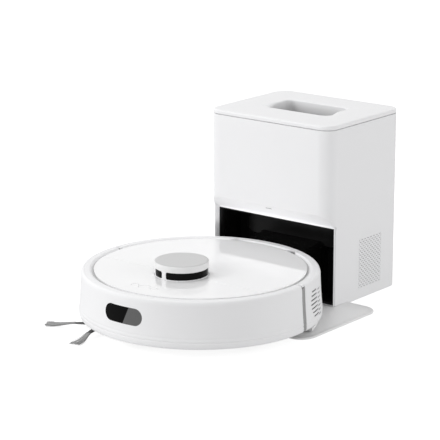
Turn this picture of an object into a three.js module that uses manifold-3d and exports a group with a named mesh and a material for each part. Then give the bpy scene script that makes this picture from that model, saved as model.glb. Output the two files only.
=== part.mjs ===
// Robot vacuum standing on the base plate of its self-emptying dock.
// Millimetres, +Z up. The origin is the middle of the dock's underside, on the floor, and -Y is the front.
import * as THREE from "three";
import { mergeVertices } from "three/addons/utils/BufferGeometryUtils.js";
import Module from "manifold-3d";

const wasm = await Module();
wasm.setup();

// ---- driving dimensions ----
const GAP = 0.3; // clearance between pieces that touch

// robot
const ROBOT_Y = -252; // the robot's centre, ahead of the dock's
const BODY_R = 175;
const BODY_TOP = 84.8;
const CHASSIS_BOTTOM = 12;
const CHASSIS_R = 155.2;
const LID_R = 154.4;
const LID_TOP = 84.3;
const LID_T = 2.8;
const LID_SPLIT_Y = -45;
const GROOVE = 3;
const WALL = 2.5;
const SLIT_RIGHT = [13, 21]; // gap between bumper and rear body, right side
const SLIT_LEFT = [2, 9.5];
const FRAME_Z = [73, 76];
const TURRET = { y: -43, r: 39, base: 86.4, window: 95.4, top: 105.2 };
const BUTTONS = { y: -125, pitch: 17, big: 8, small: 5 };
const EYE = { x: 1.5, z: 55.8, width: 67, height: 24.6 };
const WHEEL = { r: 30, width: 18, x: 117, y: -6, z: 30 };
const ARM_PIVOT = { y: -48, z: 42 };
const CASTER = { y: -131, r: 10, trail: 5, width: 11 };
const SIDE_BRUSH = { x: -89, y: -114, reach: 88, armAngles: [212, 280.5, 9, 69, 140] };
const ROLLER = { y: -50, z: 25.5, r: 16, half: 80 };
const VENT = { angle: 20.5, length: 30, rows: 7, z: 50, pitch: 6.8 };

// dock
const DOCK = { width: 226.8, depth: 189, height: 279.1, corner: 22, wall: 3 };
const LID_SEAM = 272;
const SILL = { z: 144, back: 22.3, low: 123.8 };
const ALCOVE = { half: 108.6, depth: 52, floor: 3.6, top: 121 };
const PLATE = { half: 172.5, front: -231, rear: -41, thick: 3, corner: 26 };
const HANDLE = { half: 56.5, front: -31, rear: 38, depth: 28, corner: 12 };
const GRILLE = { y: 15.5, z: 55, width: 60, height: 78 };
const HINGE = { y: 91, z: 275.6, r: 3.3, x: 64 };
const BAY_FLOOR = [128, 131];
const DUCT_AT = [-48, 22]; // where the duct meets the bag
const MOTOR_AT = [50, 38];
const PORT = { z: 60, r: 20 };
const CONTACT = { x: 36, z: 43, r: 3 };

const alcovePlane = -DOCK.depth / 2 + SILL.back;

// ---- solids ----
function solid(geometry) {
  const bare = new THREE.BufferGeometry();
  const loose = geometry.index ? geometry.toNonIndexed() : geometry;
  bare.setAttribute("position", loose.getAttribute("position"));
  const merged = mergeVertices(bare, 1e-4);
  const corners = merged.index.array;
  const kept = [];
  for (let i = 0; i < corners.length; i += 3) {
    const [a, b, c] = [corners[i], corners[i + 1], corners[i + 2]];
    if (a !== b && b !== c && c !== a) kept.push([a, b, c]);
  }
  const build = (triangles) =>
    new wasm.Manifold(
      new wasm.Mesh({
        numProp: 3,
        vertProperties: merged.attributes.position.array,
        triVerts: new Uint32Array(triangles.flat()),
      }),
    );
  const made = build(kept);
  return made.volume() > 0 ? made : build(kept.map(([a, b, c]) => [a, c, b]));
}

function box([x0, x1], [y0, y1], [z0, z1]) {
  const block = new THREE.BoxGeometry(x1 - x0, y1 - y0, z1 - z0);
  return solid(block.translate((x0 + x1) / 2, (y0 + y1) / 2, (z0 + z1) / 2));
}

// Round bar along one axis; at holds the two other coordinates, in X, Y, Z order.
function bar(axis, r, [from, to], at = [0, 0], sides = 24) {
  const rod = new THREE.CylinderGeometry(r, r, to - from, sides);
  const middle = (from + to) / 2;
  if (axis === "x") return solid(rod.rotateZ(Math.PI / 2).translate(middle, at[0], at[1]));
  if (axis === "y") return solid(rod.translate(at[0], middle, at[1]));
  return solid(rod.rotateX(Math.PI / 2).translate(at[0], at[1], middle));
}

// Closed [radius, height] profile turned about a vertical axis.
function turned(profile, sides = 48, [x, y] = [0, 0]) {
  const points = [...profile, profile[0]].map(([r, z]) => new THREE.Vector2(r, z));
  return solid(new THREE.LatheGeometry(points, sides).rotateX(Math.PI / 2).translate(x, y, 0));
}

function ring(rOuter, rInner, [z0, z1], sides = 48, at = [0, 0]) {
  return turned([[rInner, z0], [rOuter, z0], [rOuter, z1], [rInner, z1]], sides, at);
}

// A flat outline pushed along one axis: (y, z) along x, (x, z) along y, or (x, y) along z.
function pushed(axis, outline, [from, to], curveSegments = 2) {
  const plate = new THREE.ExtrudeGeometry(outline, {
    depth: to - from,
    bevelEnabled: false,
    curveSegments,
  });
  const [X, Y, Z] = [[1, 0, 0], [0, 1, 0], [0, 0, 1]].map((v) => new THREE.Vector3(...v));
  if (axis === "x") plate.applyMatrix4(new THREE.Matrix4().makeBasis(Y, Z, X)).translate(from, 0, 0);
  if (axis === "y") {
    plate.applyMatrix4(new THREE.Matrix4().makeBasis(X, Z, Y.clone().negate())).translate(0, to, 0);
  }
  if (axis === "z") plate.translate(0, 0, from);
  return solid(plate);
}

function roundedOutline([x0, x1], [y0, y1], r) {
  const outline = new THREE.Shape();
  outline.absarc(x1 - r, y0 + r, r, -Math.PI / 2, 0);
  outline.absarc(x1 - r, y1 - r, r, 0, Math.PI / 2);
  outline.absarc(x0 + r, y1 - r, r, Math.PI / 2, Math.PI);
  outline.absarc(x0 + r, y0 + r, r, Math.PI, 1.5 * Math.PI);
  return outline;
}

const join = (first, ...rest) => rest.reduce((all, one) => all.add(one), first);
const cut = (first, ...rest) => rest.reduce((all, one) => all.subtract(one), first);
const overlap = (first, second) => first.intersect(second);

function geometryOf(made) {
  const { vertProperties, triVerts } = made.getMesh();
  const geometry = new THREE.BufferGeometry();
  geometry.setAttribute("position", new THREE.BufferAttribute(vertProperties, 3));
  geometry.setIndex(new THREE.BufferAttribute(triVerts, 1));
  geometry.computeVertexNormals();
  return geometry;
}

const finish = (color, roughness, metalness = 0) =>
  new THREE.MeshStandardMaterial({ color, roughness, metalness });
const finishes = {
  satinWhite: finish(0xf2f2f3, 0.4),
  glossWhite: finish(0xf7f7f8, 0.08),
  capGrey: finish(0xdcdcde, 0.4),
  midGrey: finish(0x8f9094, 0.6),
  plateGrey: finish(0xe2e2e4, 0.5),
  glossBlack: finish(0x0b0b0d, 0.1),
  softBlack: finish(0x1c1c1f, 0.75),
  innerGrey: finish(0xb9bbc0, 0.6),
  bristle: finish(0x8a8b8f, 0.7),
  paper: finish(0xe9e4d8, 0.95),
  steel: finish(0xb8bcc2, 0.3, 1),
  brass: finish(0xd0b064, 0.3, 1),
  board: finish(0x24543a, 0.6),
  cell: finish(0x34506e, 0.5),
};

const object = new THREE.Group();
const robot = new THREE.Group();
robot.position.y = ROBOT_Y;
object.add(robot);

function piece(parent, name, made, material) {
  const mesh = new THREE.Mesh(geometryOf(made), finishes[material]);
  mesh.name = name;
  parent.add(mesh);
}

// ---- robot: outer shells ----
const OUTER = [
  [172.4, 16.6], [174.8, 17.2], [176.4, 19], [177, 23], [176.8, 29], [175.8, 37], [175, 46],
  [174.5, 56], [173.3, 77], [171.4, 84], [169.8, BODY_TOP],
];

// The outer line of the body moved inwards, for the wall and for what lies behind it.
const inset = (depth) => OUTER.map(([r, z]) => [r - depth, Math.min(z, BODY_TOP - depth)]);

function bodyRing(lipR) {
  const hidden = inset(WALL).slice(2, -1).reverse();
  return turned([
    [lipR, 16.6], ...OUTER, [LID_R + GROOVE, BODY_TOP], [LID_R + GROOVE, BODY_TOP - WALL],
    ...hidden, [lipR, 19.2],
  ]);
}

// Everything ahead of, or behind, the slit; the slit stands at its own place on each side.
function sideOfSlit(ahead) {
  const far = BODY_R + 10;
  const halves = [SLIT_LEFT, SLIT_RIGHT].map(([front, rear], i) => {
    const x = i ? [0, far] : [-far, 0];
    return box(x, ahead ? [-far, front] : [rear, far], [0, 120]);
  });
  return join(...halves);
}

const eyeOutline = (grow) =>
  roundedOutline(
    [EYE.x - EYE.width / 2 - grow, EYE.x + EYE.width / 2 + grow],
    [EYE.z - EYE.height / 2 - grow, EYE.z + EYE.height / 2 + grow],
    EYE.height / 2 + grow - 0.01,
  );

function ventSlots(side) {
  const slots = [];
  for (let row = 0; row < VENT.rows; row += 1) {
    const slot = new THREE.BoxGeometry(14, VENT.length, 2);
    slot.translate(BODY_R - 2, 0, VENT.z + (row - (VENT.rows - 1) / 2) * VENT.pitch);
    slot.rotateZ(THREE.MathUtils.degToRad(side > 0 ? VENT.angle : 180 - VENT.angle));
    slots.push(solid(slot));
  }
  return slots;
}

function shells() {
  const windowHole = pushed("y", eyeOutline(GAP), [-BODY_R - 5, -BODY_R + 10], 8);
  const bumper = overlap(bodyRing(158.4), sideOfSlit(true));
  piece(robot, "bumper", cut(bumper, windowHole), "satinWhite");

  const rear = overlap(bodyRing(CHASSIS_R + 0.4), sideOfSlit(false));
  const padPockets = [-1, 1].map((side) =>
    box([side * CONTACT.x - 6.5, side * CONTACT.x + 6.5], [160, 180], [CONTACT.z - 4, CONTACT.z + 4]));
  const dustOutlet = bar("y", 12, [150, 190], [0, PORT.z]);
  const holes = [...ventSlots(1), ...ventSlots(-1), ...padPockets, dustOutlet];
  // lowered rear edge, where the open cover swings down
  const coverRelief = box([-60, 60], [130, 152.8], [BODY_TOP - WALL - 1, 90]);
  piece(robot, "rear_body", cut(rear, ...holes, coverRelief), "satinWhite");

  const lining = turned([...inset(3.2).slice(3, -1), ...inset(4.6).slice(3, -1).reverse()], 48);
  [SLIT_LEFT, SLIT_RIGHT].forEach(([front, back], i) => {
    const x = i ? [100, 200] : [-200, -100];
    const strip = overlap(lining, box(x, [front - 2, back + 2], [0, BODY_TOP - 4]));
    piece(robot, i ? "slit_lining_right" : "slit_lining_left", strip, "midGrey");
  });

  const window = turned([
    [173, 40], [175.7, 40], [175.1, 50], [173.9, 72], [171.2, 72],
  ], 72);
  const eye = pushed("y", eyeOutline(0), [-BODY_R - 5, -BODY_R + 10], 8);
  piece(robot, "sensor_window", overlap(window, eye), "glossBlack");

  [-1, 1].forEach((side) => {
    const x = [side * CONTACT.x - 6, side * CONTACT.x + 6];
    const pad = box(x, [166, 171.9], [CONTACT.z - 3.5, CONTACT.z + 3.5]);
    piece(robot, side < 0 ? "charge_pad_left" : "charge_pad_right", pad, "brass");
  });
}

// ---- robot: chassis, frame and top ----
function wheelWell(side) {
  const x = [WHEEL.x - 33, WHEEL.x + 13].map((v) => v * side).sort((a, b) => a - b);
  return box(x, [-62, 30], [0, 30]);
}

function chassis() {
  const pan = bar("z", CHASSIS_R, [CHASSIS_BOTTOM, 15], [0, 0], 56);
  const brushWell = box([-83, 83], [-69.5, -30.5], [0, 30]);
  const casterWell = bar("z", 20, [0, 24], [0, CASTER.y], 32);
  const casterCup = cut(
    bar("z", 22, [13, 28], [0, CASTER.y], 32),
    bar("z", 20, [0, 26], [0, CASTER.y], 32),
    bar("z", 4.2, [0, 40], [0, CASTER.y], 20),
  );
  const brushHole = bar("z", 4, [0, 30], [SIDE_BRUSH.x, SIDE_BRUSH.y], 20);
  const open = cut(pan, brushWell, casterWell, brushHole, wheelWell(-1), wheelWell(1));
  const tunnel = cut(
    box([-87.6, 87.6], [-73.6, -26.4], [CHASSIS_BOTTOM + 0.4, 46]),
    box([-82.5, 82.5], [-69, -31], [0, 43.5]),
    bar("x", 3.4, [-90, 90], [ROLLER.y, ROLLER.z], 12),
    box([-30, 30], [-40, 0], [28, 42]),
  );
  piece(robot, "chassis", join(open, casterCup, tunnel), "innerGrey");
}

function upperFrame() {
  const deck = bar("z", 158, FRAME_Z, [0, 0], 56);
  const rest = ring(LID_R + 2, LID_R - 6, [FRAME_Z[0], LID_TOP - LID_T - GAP], 56);
  const hingeRoom = box([-44, 44], [138, 165], [FRAME_Z[0] - 1, 90]);
  const binHole = box([-74, 74], [28, 128], [70, 80]);
  const bridge = box([-44, 44], [128.5, 140], [70, FRAME_Z[1]]);
  const ears = [-1, 1].map((side) => {
    const x = [side * 36, side * 41].sort((a, b) => a - b);
    const boss = bar("x", 2.8, x, [148, 78.5], 20);
    return cut(join(box(x, [130, 148], [70, 81]), boss), bar("x", 1.6, [-60, 60], [148, 78.5], 12));
  });
  const lidarPost = join(
    bar("z", 30, [FRAME_Z[0], 80], [0, TURRET.y], 32),
    bar("z", 5, [79, 82], [0, TURRET.y], 16),
  );
  const coverEdgeRoom = box([-63, 63], [130, 165], [FRAME_Z[1], 90]);
  const frame = cut(join(deck, cut(rest, coverEdgeRoom)), hingeRoom, binHole);
  piece(robot, "upper_frame", join(frame, bridge, lidarPost, ...ears), "innerGrey");
  piece(robot, "cover_hinge_pin", bar("x", 1.5, [-42, 42], [148, 78.5], 12), "steel");
}

function lids() {
  const sheet = bar("z", LID_R, [LID_TOP - LID_T, LID_TOP], [0, 0], 60);
  const turretHole = bar("z", TURRET.r + 0.5, [60, 100], [0, TURRET.y], 36);
  const front = overlap(sheet, box([-200, 200], [-200, LID_SPLIT_Y - 0.3], [0, 100]));
  const buttonHoles = [-1, 0, 1].map((i) =>
    bar("z", (i ? BUTTONS.small : BUTTONS.big) + GAP, [60, 100], [i * BUTTONS.pitch, BUTTONS.y], 28));
  piece(robot, "front_deck", cut(front, turretHole, ...buttonHoles), "glossWhite");

  const rear = overlap(sheet, box([-200, 200], [LID_SPLIT_Y + 0.3, 200], [0, 100]));
  const lugs = [-1, 1].map((side) => {
    const x = [side * 24, side * 35].sort((a, b) => a - b);
    return cut(box(x, [145.2, 151], [75.8, 82]), bar("x", 1.6, [-60, 60], [148, 78.5], 12));
  });
  piece(robot, "flip_cover", cut(join(rear, ...lugs), turretHole), "glossWhite");

  ["spot_button", "power_button", "home_button"].forEach((name, i) => {
    const r = i === 1 ? BUTTONS.big : BUTTONS.small;
    const at = [(i - 1) * BUTTONS.pitch, BUTTONS.y];
    const cap = bar("z", r, [79, LID_TOP], at, 28);
    piece(robot, name, join(cap, bar("z", 2, [77.6, 80], at, 12)), "glossWhite");
  });
}

function turret() {
  const at = [0, TURRET.y];
  const skirt = ring(TURRET.r, TURRET.r - 4, [79, TURRET.base], 36, at);
  const pillars = [-130, -91, 60, 150].map((degrees) => {
    const post = new THREE.BoxGeometry(1.4, 6, TURRET.window - TURRET.base + 1);
    post.translate(TURRET.r - 0.9, 0, (TURRET.window + TURRET.base) / 2 - 0.5);
    post.rotateZ(THREE.MathUtils.degToRad(degrees));
    return solid(post.translate(0, TURRET.y, 0));
  });
  piece(robot, "turret_ring", join(skirt, ...pillars), "satinWhite");
  const band = ring(TURRET.r - 2, TURRET.r - 4, [TURRET.base + GAP, TURRET.window - GAP], 36, at);
  piece(robot, "turret_window", band, "glossBlack");
  const cap = turned([
    [0, TURRET.window], [TURRET.r, TURRET.window], [TURRET.r, TURRET.top - 2.2],
    [TURRET.r - 0.8, TURRET.top - 0.7], [TURRET.r - 2.4, TURRET.top], [0, TURRET.top],
  ], 36, at);
  piece(robot, "turret_cap", cap, "capGrey");

  const head = cut(bar("z", 27, [82.4, 93], at, 32), box([-30, 30], [TURRET.y - 30, TURRET.y - 22], [85, 91]));
  piece(robot, "lidar_rotor", head, "softBlack");
}

// ---- robot: running gear ----
function drive(side) {
  const end = side < 0 ? "left" : "right";
  const span = (near, far) => [near * side, far * side].sort((a, b) => a - b);
  const axle = [WHEEL.y, WHEEL.z];
  const inner = WHEEL.x - WHEEL.width / 2;
  const outer = WHEEL.x + WHEEL.width / 2;

  const arm = join(
    box(span(inner - 18, inner - 1.5), [WHEEL.y - 14, WHEEL.y + 14], [16, 50]),
    box(span(inner - 12, inner - 1.5), [ARM_PIVOT.y - 6, WHEEL.y], [ARM_PIVOT.z - 8, ARM_PIVOT.z + 8]),
    bar("x", 3, span(inner - 16, inner + 1), [ARM_PIVOT.y, ARM_PIVOT.z], 16),
  );
  const axleBore = bar("x", 4.3, span(inner - 12, inner), axle, 16);
  piece(robot, "wheel_arm_" + end, cut(arm, axleBore), "softBlack");

  const hub = join(
    bar("x", WHEEL.r - 6, span(inner, outer), axle, 28),
    bar("x", 4, span(inner - 11, inner + 1), axle, 16),
  );
  piece(robot, "wheel_hub_" + end, hub, "innerGrey");
  const tyre = cut(
    bar("x", WHEEL.r, span(inner, outer), axle, 36),
    bar("x", WHEEL.r - 6 + GAP, span(inner - 1, outer + 1), axle, 28),
  );
  piece(robot, "tyre_" + end, tyre, "softBlack");
}

function caster() {
  const wheelY = CASTER.y + CASTER.trail;
  const half = CASTER.width / 2;
  const cheeks = [-1, 1].map((side) =>
    box([side * (half + 0.6), side * (half + 3)].sort((a, b) => a - b), [wheelY - 5, wheelY + 5], [6, 23]));
  const fork = join(
    bar("z", 13, [21.5, 25], [0, CASTER.y], 28),
    bar("z", 4, [24, 34], [0, CASTER.y], 16),
    ...cheeks,
  );
  const axleHole = bar("x", 1.8, [-20, 20], [wheelY, CASTER.r], 12);
  piece(robot, "caster_fork", cut(fork, axleHole), "innerGrey");
  const wheel = join(
    bar("x", CASTER.r, [-half, half], [wheelY, CASTER.r], 32),
    bar("x", 1.5, [-half - 3, half + 3], [wheelY, CASTER.r], 12),
  );
  piece(robot, "caster_wheel", wheel, "softBlack");
}

// Flat flared arm: narrow at the hub, a thin waist, and wide where the bristles spread.
function bristleArm(degrees) {
  const outline = new THREE.Shape();
  const edge = [[8, 3.2], [28, 2.2], [44, 1.6], [60, 4.2], [SIDE_BRUSH.reach, 7]];
  outline.moveTo(edge[0][0], -edge[0][1]);
  edge.slice(1).forEach(([r, w]) => outline.lineTo(r, -w));
  [...edge].reverse().forEach(([r, w]) => outline.lineTo(r, w));
  const arm = new THREE.ExtrudeGeometry(outline, { depth: 1.6, bevelEnabled: false });
  arm.rotateZ(THREE.MathUtils.degToRad(degrees)).translate(SIDE_BRUSH.x, SIDE_BRUSH.y, 5);
  return solid(arm);
}

function brushes() {
  const at = [SIDE_BRUSH.x, SIDE_BRUSH.y];
  const arms = SIDE_BRUSH.armAngles.map(bristleArm);
  const bore = bar("z", 8 + 0.4, [0, 20], at, 24);
  piece(robot, "side_brush_bristles", cut(join(ring(11, 8.4, [5, 6.6], 24, at), ...arms), bore), "bristle");
  const hub = join(bar("z", 8, [3.6, 8.4], at, 24), bar("z", 11, [8, 11], at, 24), bar("z", 3, [10, 22], at, 12));
  piece(robot, "side_brush_hub", hub, "softBlack");
  const motor = cut(bar("z", 11, [15.4, 42], at, 24), bar("z", 3.4, [10, 23], at, 12));
  piece(robot, "side_brush_motor", motor, "softBlack");

  const axle = [ROLLER.y, ROLLER.z];
  const core = bar("x", 10, [-ROLLER.half, ROLLER.half], axle, 20);
  const fins = [];
  for (let i = 0; i < 6; i += 1) {
    const fin = new THREE.BoxGeometry(2 * ROLLER.half - 4, 2, ROLLER.r - 9);
    fin.translate(0, 0, (ROLLER.r + 9) / 2).rotateX((i * Math.PI) / 3);
    fins.push(solid(fin.translate(0, ROLLER.y, ROLLER.z)));
  }
  const journals = bar("x", 3, [-ROLLER.half - 5, ROLLER.half + 5], axle, 12);
  piece(robot, "main_brush", join(core, journals, ...fins), "softBlack");

  const guard = cut(
    pushed("z", roundedOutline([-87.6, 87.6], [-73.6, -26.4], 5), [9.6, 11.7]),
    pushed("z", roundedOutline([-81, 81], [-67.5, -32.5], 3), [0, 20]),
  );
  const bars = [-40, 0, 40].map((x) => box([x - 1.2, x + 1.2], [-68, -32], [8.2, 9.2]));
  const feet = [-40, 0, 40].flatMap((x) =>
    [[-70.5, -67], [-33, -29.5]].map((y) => box([x - 1.2, x + 1.2], y, [8.2, 10])));
  piece(robot, "brush_guard", join(guard, ...bars, ...feet), "innerGrey");
}

// ---- robot: what it holds inside ----
function innards() {
  const bin = cut(
    pushed("z", roundedOutline([-72, 72], [30, 126], 10), [20, 72]),
    pushed("z", roundedOutline([-70, 70], [32, 124], 8), [22, 80]),
    bar("y", 12, [100, 140], [0, PORT.z]),
    box([-28, 28], [20, 40], [30, 48]),
  );
  piece(robot, "dustbin", bin, "innerGrey");
  piece(robot, "dust_filter", box([30, 68], [40, 52], [24, 66]), "paper");
  const fanAt = [104, 70];
  const scroll = cut(bar("z", 27, [16, 54], fanAt, 32), bar("z", 24, [18.5, 60], fanAt, 32));
  piece(robot, "fan_housing", scroll, "softBlack");
  const vanes = [];
  for (let i = 0; i < 8; i += 1) {
    const vane = new THREE.BoxGeometry(16, 1.5, 14);
    vane.translate(13, 0, 0).rotateZ((i * Math.PI) / 4).translate(fanAt[0], fanAt[1], 40);
    vanes.push(solid(vane));
  }
  const impeller = join(bar("z", 7, [20, 48], fanAt, 16), bar("z", 22, [31, 34], fanAt, 32), ...vanes);
  piece(robot, "suction_impeller", impeller, "innerGrey");
  piece(robot, "battery", pushed("z", roundedOutline([-122, -84], [32, 90], 5), [15.6, 62]), "cell");
  piece(robot, "main_board", box([-58, 58], [-112, -78], [60, 62]), "board");
  const camera = join(
    box([-26, 28], [-160, -146], [46, 66]),
    bar("y", 6, [-165, -159], [-10, 56], 16),
    bar("y", 4, [-164, -159], [18, 56], 16),
  );
  piece(robot, "camera_module", camera, "softBlack");
}

function mop() {
  const crescent = (r, y, z) => overlap(bar("z", r, z, [0, 0], 56), box([-200, 200], [y, 200], [0, 20]));
  piece(robot, "mop_bracket", crescent(171.4, 50, [7, CHASSIS_BOTTOM - GAP]), "plateGrey");
  piece(robot, "mop_pad", crescent(168, 54, [3.6, 7 - GAP]), "paper");
}

// ---- dock: shell, lid and plate ----
const dockX = [-DOCK.width / 2, DOCK.width / 2];
const dockY = [-DOCK.depth / 2, DOCK.depth / 2];
const grow = ([low, high], by) => [low - by, high + by];

// Everything ahead of the sill: a curved undercut from the front face back to the alcove's plane.
function undercut(deeper) {
  const front = dockY[0] + deeper;
  const outline = new THREE.Shape();
  outline.moveTo(front - 40, -1);
  outline.lineTo(alcovePlane + deeper, -1);
  outline.lineTo(alcovePlane + deeper, SILL.low + deeper);
  outline.quadraticCurveTo(front + 2, SILL.low + 5 + deeper, front, SILL.z + deeper);
  outline.lineTo(front - 40, SILL.z + deeper);
  outline.closePath();
  return pushed("x", outline, [-200, 200], 5);
}

function dockShell() {
  const { wall, corner } = DOCK;
  const outer = pushed("z", roundedOutline(dockX, dockY, corner), [0, LID_SEAM - 0.2], 4);
  const innerOutline = roundedOutline(grow(dockX, -wall), grow(dockY, -wall), corner - wall);
  const inner = pushed("z", innerOutline, [-5, 300], 4);
  const walls = cut(cut(outer, undercut(0)), cut(inner, undercut(wall)));
  const mouth = box([-ALCOVE.half, ALCOVE.half], [-200, alcovePlane + wall + 1], [-5, ALCOVE.top]);
  const plateRoom = box([-200, 200], [-200, PLATE.rear + GAP], [-5, PLATE.thick + GAP]);
  const grilleHole = box([100, 130], grow([GRILLE.y, GRILLE.y], GRILLE.width / 2 + GAP),
    grow([GRILLE.z, GRILLE.z], GRILLE.height / 2 + GAP));
  const socketHole = box([-92, -64], [80, 100], [18, 44]);
  const ledHole = box([-6.3, 6.3], [-100, -85], [137.9, 140.3]);
  const open = cut(walls, mouth, plateRoom, grilleHole, socketHole, ledHole);
  const bayFloor = cut(
    box([-111, 111], [alcovePlane + 2, 92], BAY_FLOOR),
    bar("z", 13.6, [100, 140], DUCT_AT, 28),
    bar("z", 20, [100, 140], MOTOR_AT, 28),
  );
  const ears = [-1, 1].map((side) => {
    const ear = join(
      box(grow([side * HINGE.x, side * HINGE.x], 3.5), [85, 93.8], [255, HINGE.z]),
      bar("x", HINGE.r, grow([side * HINGE.x, side * HINGE.x], 3.5), [HINGE.y - 0.1, HINGE.z], 20),
    );
    return cut(ear, bar("x", 1.6, [-100, 100], [HINGE.y, HINGE.z], 12));
  });
  piece(object, "dock_shell", join(open, overlap(bayFloor, outer), ...ears), "satinWhite");
}

function dockLid() {
  const slab = pushed("z", roundedOutline(dockX, dockY, DOCK.corner), [LID_SEAM + 0.3, DOCK.height], 4);
  const nose = join(
    box([-200, 200], [-200, HINGE.y], [200, 300]),
    bar("x", HINGE.r, [-200, 200], [HINGE.y, HINGE.z], 20),
  );
  const handleX = [-HANDLE.half, HANDLE.half];
  const handleY = [HANDLE.front, HANDLE.rear];
  const floor = DOCK.height - HANDLE.depth;
  const cupOutline = roundedOutline(grow(handleX, 2), grow(handleY, 2), HANDLE.corner + 2);
  const cup = pushed("z", cupOutline, [floor - 2, DOCK.height]);
  const recess = pushed("z", roundedOutline(handleX, handleY, HANDLE.corner), [floor, 300]);
  const notches = [-1, 1].map((side) =>
    box(grow([side * HINGE.x, side * HINGE.x], 4.1), [84, 100], [260, 300]));
  const bore = bar("x", 1.6, [-120, 120], [HINGE.y, HINGE.z], 12);
  piece(object, "dock_lid", cut(join(overlap(slab, nose), cup), recess, ...notches, bore), "satinWhite");
  const pin = bar("x", 1.5, [-HINGE.x - 8, HINGE.x + 8], [HINGE.y, HINGE.z], 12);
  piece(object, "lid_pin", pin, "steel");
  const seal = (by) => roundedOutline(grow(dockX, by), grow([dockY[0], 84], by), 16);
  const strip = cut(pushed("z", seal(-4), [269.4, LID_SEAM]), pushed("z", seal(-7), [260, 280]));
  piece(object, "lid_seal", strip, "midGrey");
}

function dockBase() {
  const pan = pushed("z", roundedOutline([-110, 110], [PLATE.rear + 0.6, 91.1], 10), [0, 3]);
  const rearCorners = pushed("z", roundedOutline([-110, 110], [-100, 91.1], 18.6), [-1, 10], 4);
  piece(object, "dock_base", overlap(pan, rearCorners), "innerGrey");
  const plate = pushed("z", roundedOutline([-PLATE.half, PLATE.half], [PLATE.front, PLATE.rear], PLATE.corner),
    [0, PLATE.thick]);
  piece(object, "base_plate", plate, "plateGrey");
}

function alcove() {
  const back = alcovePlane + ALCOVE.depth;
  const x = [-ALCOVE.half + GAP, ALCOVE.half - GAP];
  const tray = cut(
    box(x, [alcovePlane + GAP, back], [ALCOVE.floor, ALCOVE.top - GAP]),
    box(grow(x, -2), [-200, back - 2], [ALCOVE.floor + 2, ALCOVE.top - 2.3]),
  );
  const block = box([-62, 62], [-74.2, back - 1], [ALCOVE.floor, 84]);
  const bores = [-1, 1].map((side) => bar("y", CONTACT.r + 0.3, [-90, -58], [side * CONTACT.x, CONTACT.z], 20));
  const inlet = bar("y", PORT.r + 0.3, [-90, -68], [0, PORT.z], 32);
  const throat = bar("y", 14, [-90, back + 5], [0, PORT.z], 28);
  piece(object, "alcove_liner", cut(join(tray, block), inlet, throat, ...bores), "glossBlack");

  [-1, 1].forEach((side) => {
    const at = [side * CONTACT.x, CONTACT.z];
    const pin = join(bar("y", CONTACT.r, [-78.6, -64], at, 20), bar("y", 1.8, [-79.4, -78], at, 16));
    piece(object, side < 0 ? "contact_left" : "contact_right", pin, "brass");
  });
  const lip = cut(bar("y", PORT.r, [-75.8, -68.3], [0, PORT.z], 32), bar("y", 14, [-90, -60], [0, PORT.z], 28));
  piece(object, "inlet_seal", lip, "softBlack");
}

// ---- dock: air path and power ----
function airPath() {
  const start = alcovePlane + ALCOVE.depth + GAP;
  const route = new THREE.CatmullRomCurve3([
    new THREE.Vector3(0, start, PORT.z), new THREE.Vector3(0, start + 14, PORT.z),
    new THREE.Vector3(-24, start + 36, 78), new THREE.Vector3(...DUCT_AT, 104),
    new THREE.Vector3(...DUCT_AT, BAY_FLOOR[0] - 2 * GAP),
  ]);
  const section = new THREE.Shape().absarc(0, 0, 16, 0, 2 * Math.PI);
  section.holes.push(new THREE.Path().absarc(0, 0, 13.6, 0, 2 * Math.PI, true));
  const duct = new THREE.ExtrudeGeometry(section, { extrudePath: route, steps: 9, curveSegments: 6 });
  piece(object, "air_duct", solid(duct), "innerGrey");

  const bagAt = DUCT_AT;
  const motorAt = MOTOR_AT;
  const collar = cut(
    pushed("z", roundedOutline([-80, -16], [-8, 56], 6), [BAY_FLOOR[1] + GAP, 134]),
    bar("z", 13.6, [100, 140], bagAt, 28),
  );
  piece(object, "bag_collar", collar, "paper");
  const bag = cut(
    pushed("z", roundedOutline([-96, 96], [-76, 78], 30), [134.4, 236], 8),
    bar("z", 13.6, [130, 160], bagAt, 28),
  );
  piece(object, "dust_bag", bag, "paper");

  piece(object, "dock_motor", bar("z", 36, [8, 96], motorAt, 36), "softBlack");
  const vanes = [];
  for (let i = 0; i < 9; i += 1) {
    const vane = new THREE.BoxGeometry(22, 1.6, 9);
    vane.translate(18, 0, 0).rotateZ((i * 2 * Math.PI) / 9).translate(motorAt[0], motorAt[1], 105);
    vanes.push(solid(vane));
  }
  const fan = join(bar("z", 9, [98, 112], motorAt, 20), bar("z", 32, [98, 101], motorAt, 36), ...vanes);
  piece(object, "dock_impeller", fan, "innerGrey");
  piece(object, "exhaust_filter", box([96, 108.5], [-13, 44], [18, 92]), "paper");

  const span = (middle, size) => [middle - size / 2, middle + size / 2];
  const slots = [];
  for (let i = 0; i < 9; i += 1) {
    const z = GRILLE.z + (i - 4) * 8;
    slots.push(box([100, 120], span(GRILLE.y, GRILLE.width - 8), span(z, 3)));
  }
  const grille = box([110.4, DOCK.width / 2], span(GRILLE.y, GRILLE.width), span(GRILLE.z, GRILLE.height));
  piece(object, "exhaust_grille", cut(grille, ...slots), "satinWhite");
}

function power() {
  const socket = cut(
    box([-91.6, -64.4], [70, 94.5], [18.4, 43.6]),
    pushed("y", roundedOutline([-87, -69], [24, 38], 6.9), [80, 100]),
  );
  const pins = [-82.5, -73.5].map((x) => bar("y", 1.6, [79, 91], [x, 31], 12));
  piece(object, "mains_inlet", join(socket, ...pins), "softBlack");
  piece(object, "led_lens", box([-6, 6], [-94.4, -88], [138.2, 140]), "glossWhite");
}

shells();
chassis();
upperFrame();
lids();
turret();
[-1, 1].forEach(drive);
caster();
brushes();
innards();
mop();
dockShell();
dockLid();
dockBase();
alcove();
airPath();
power();

export default object;
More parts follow.
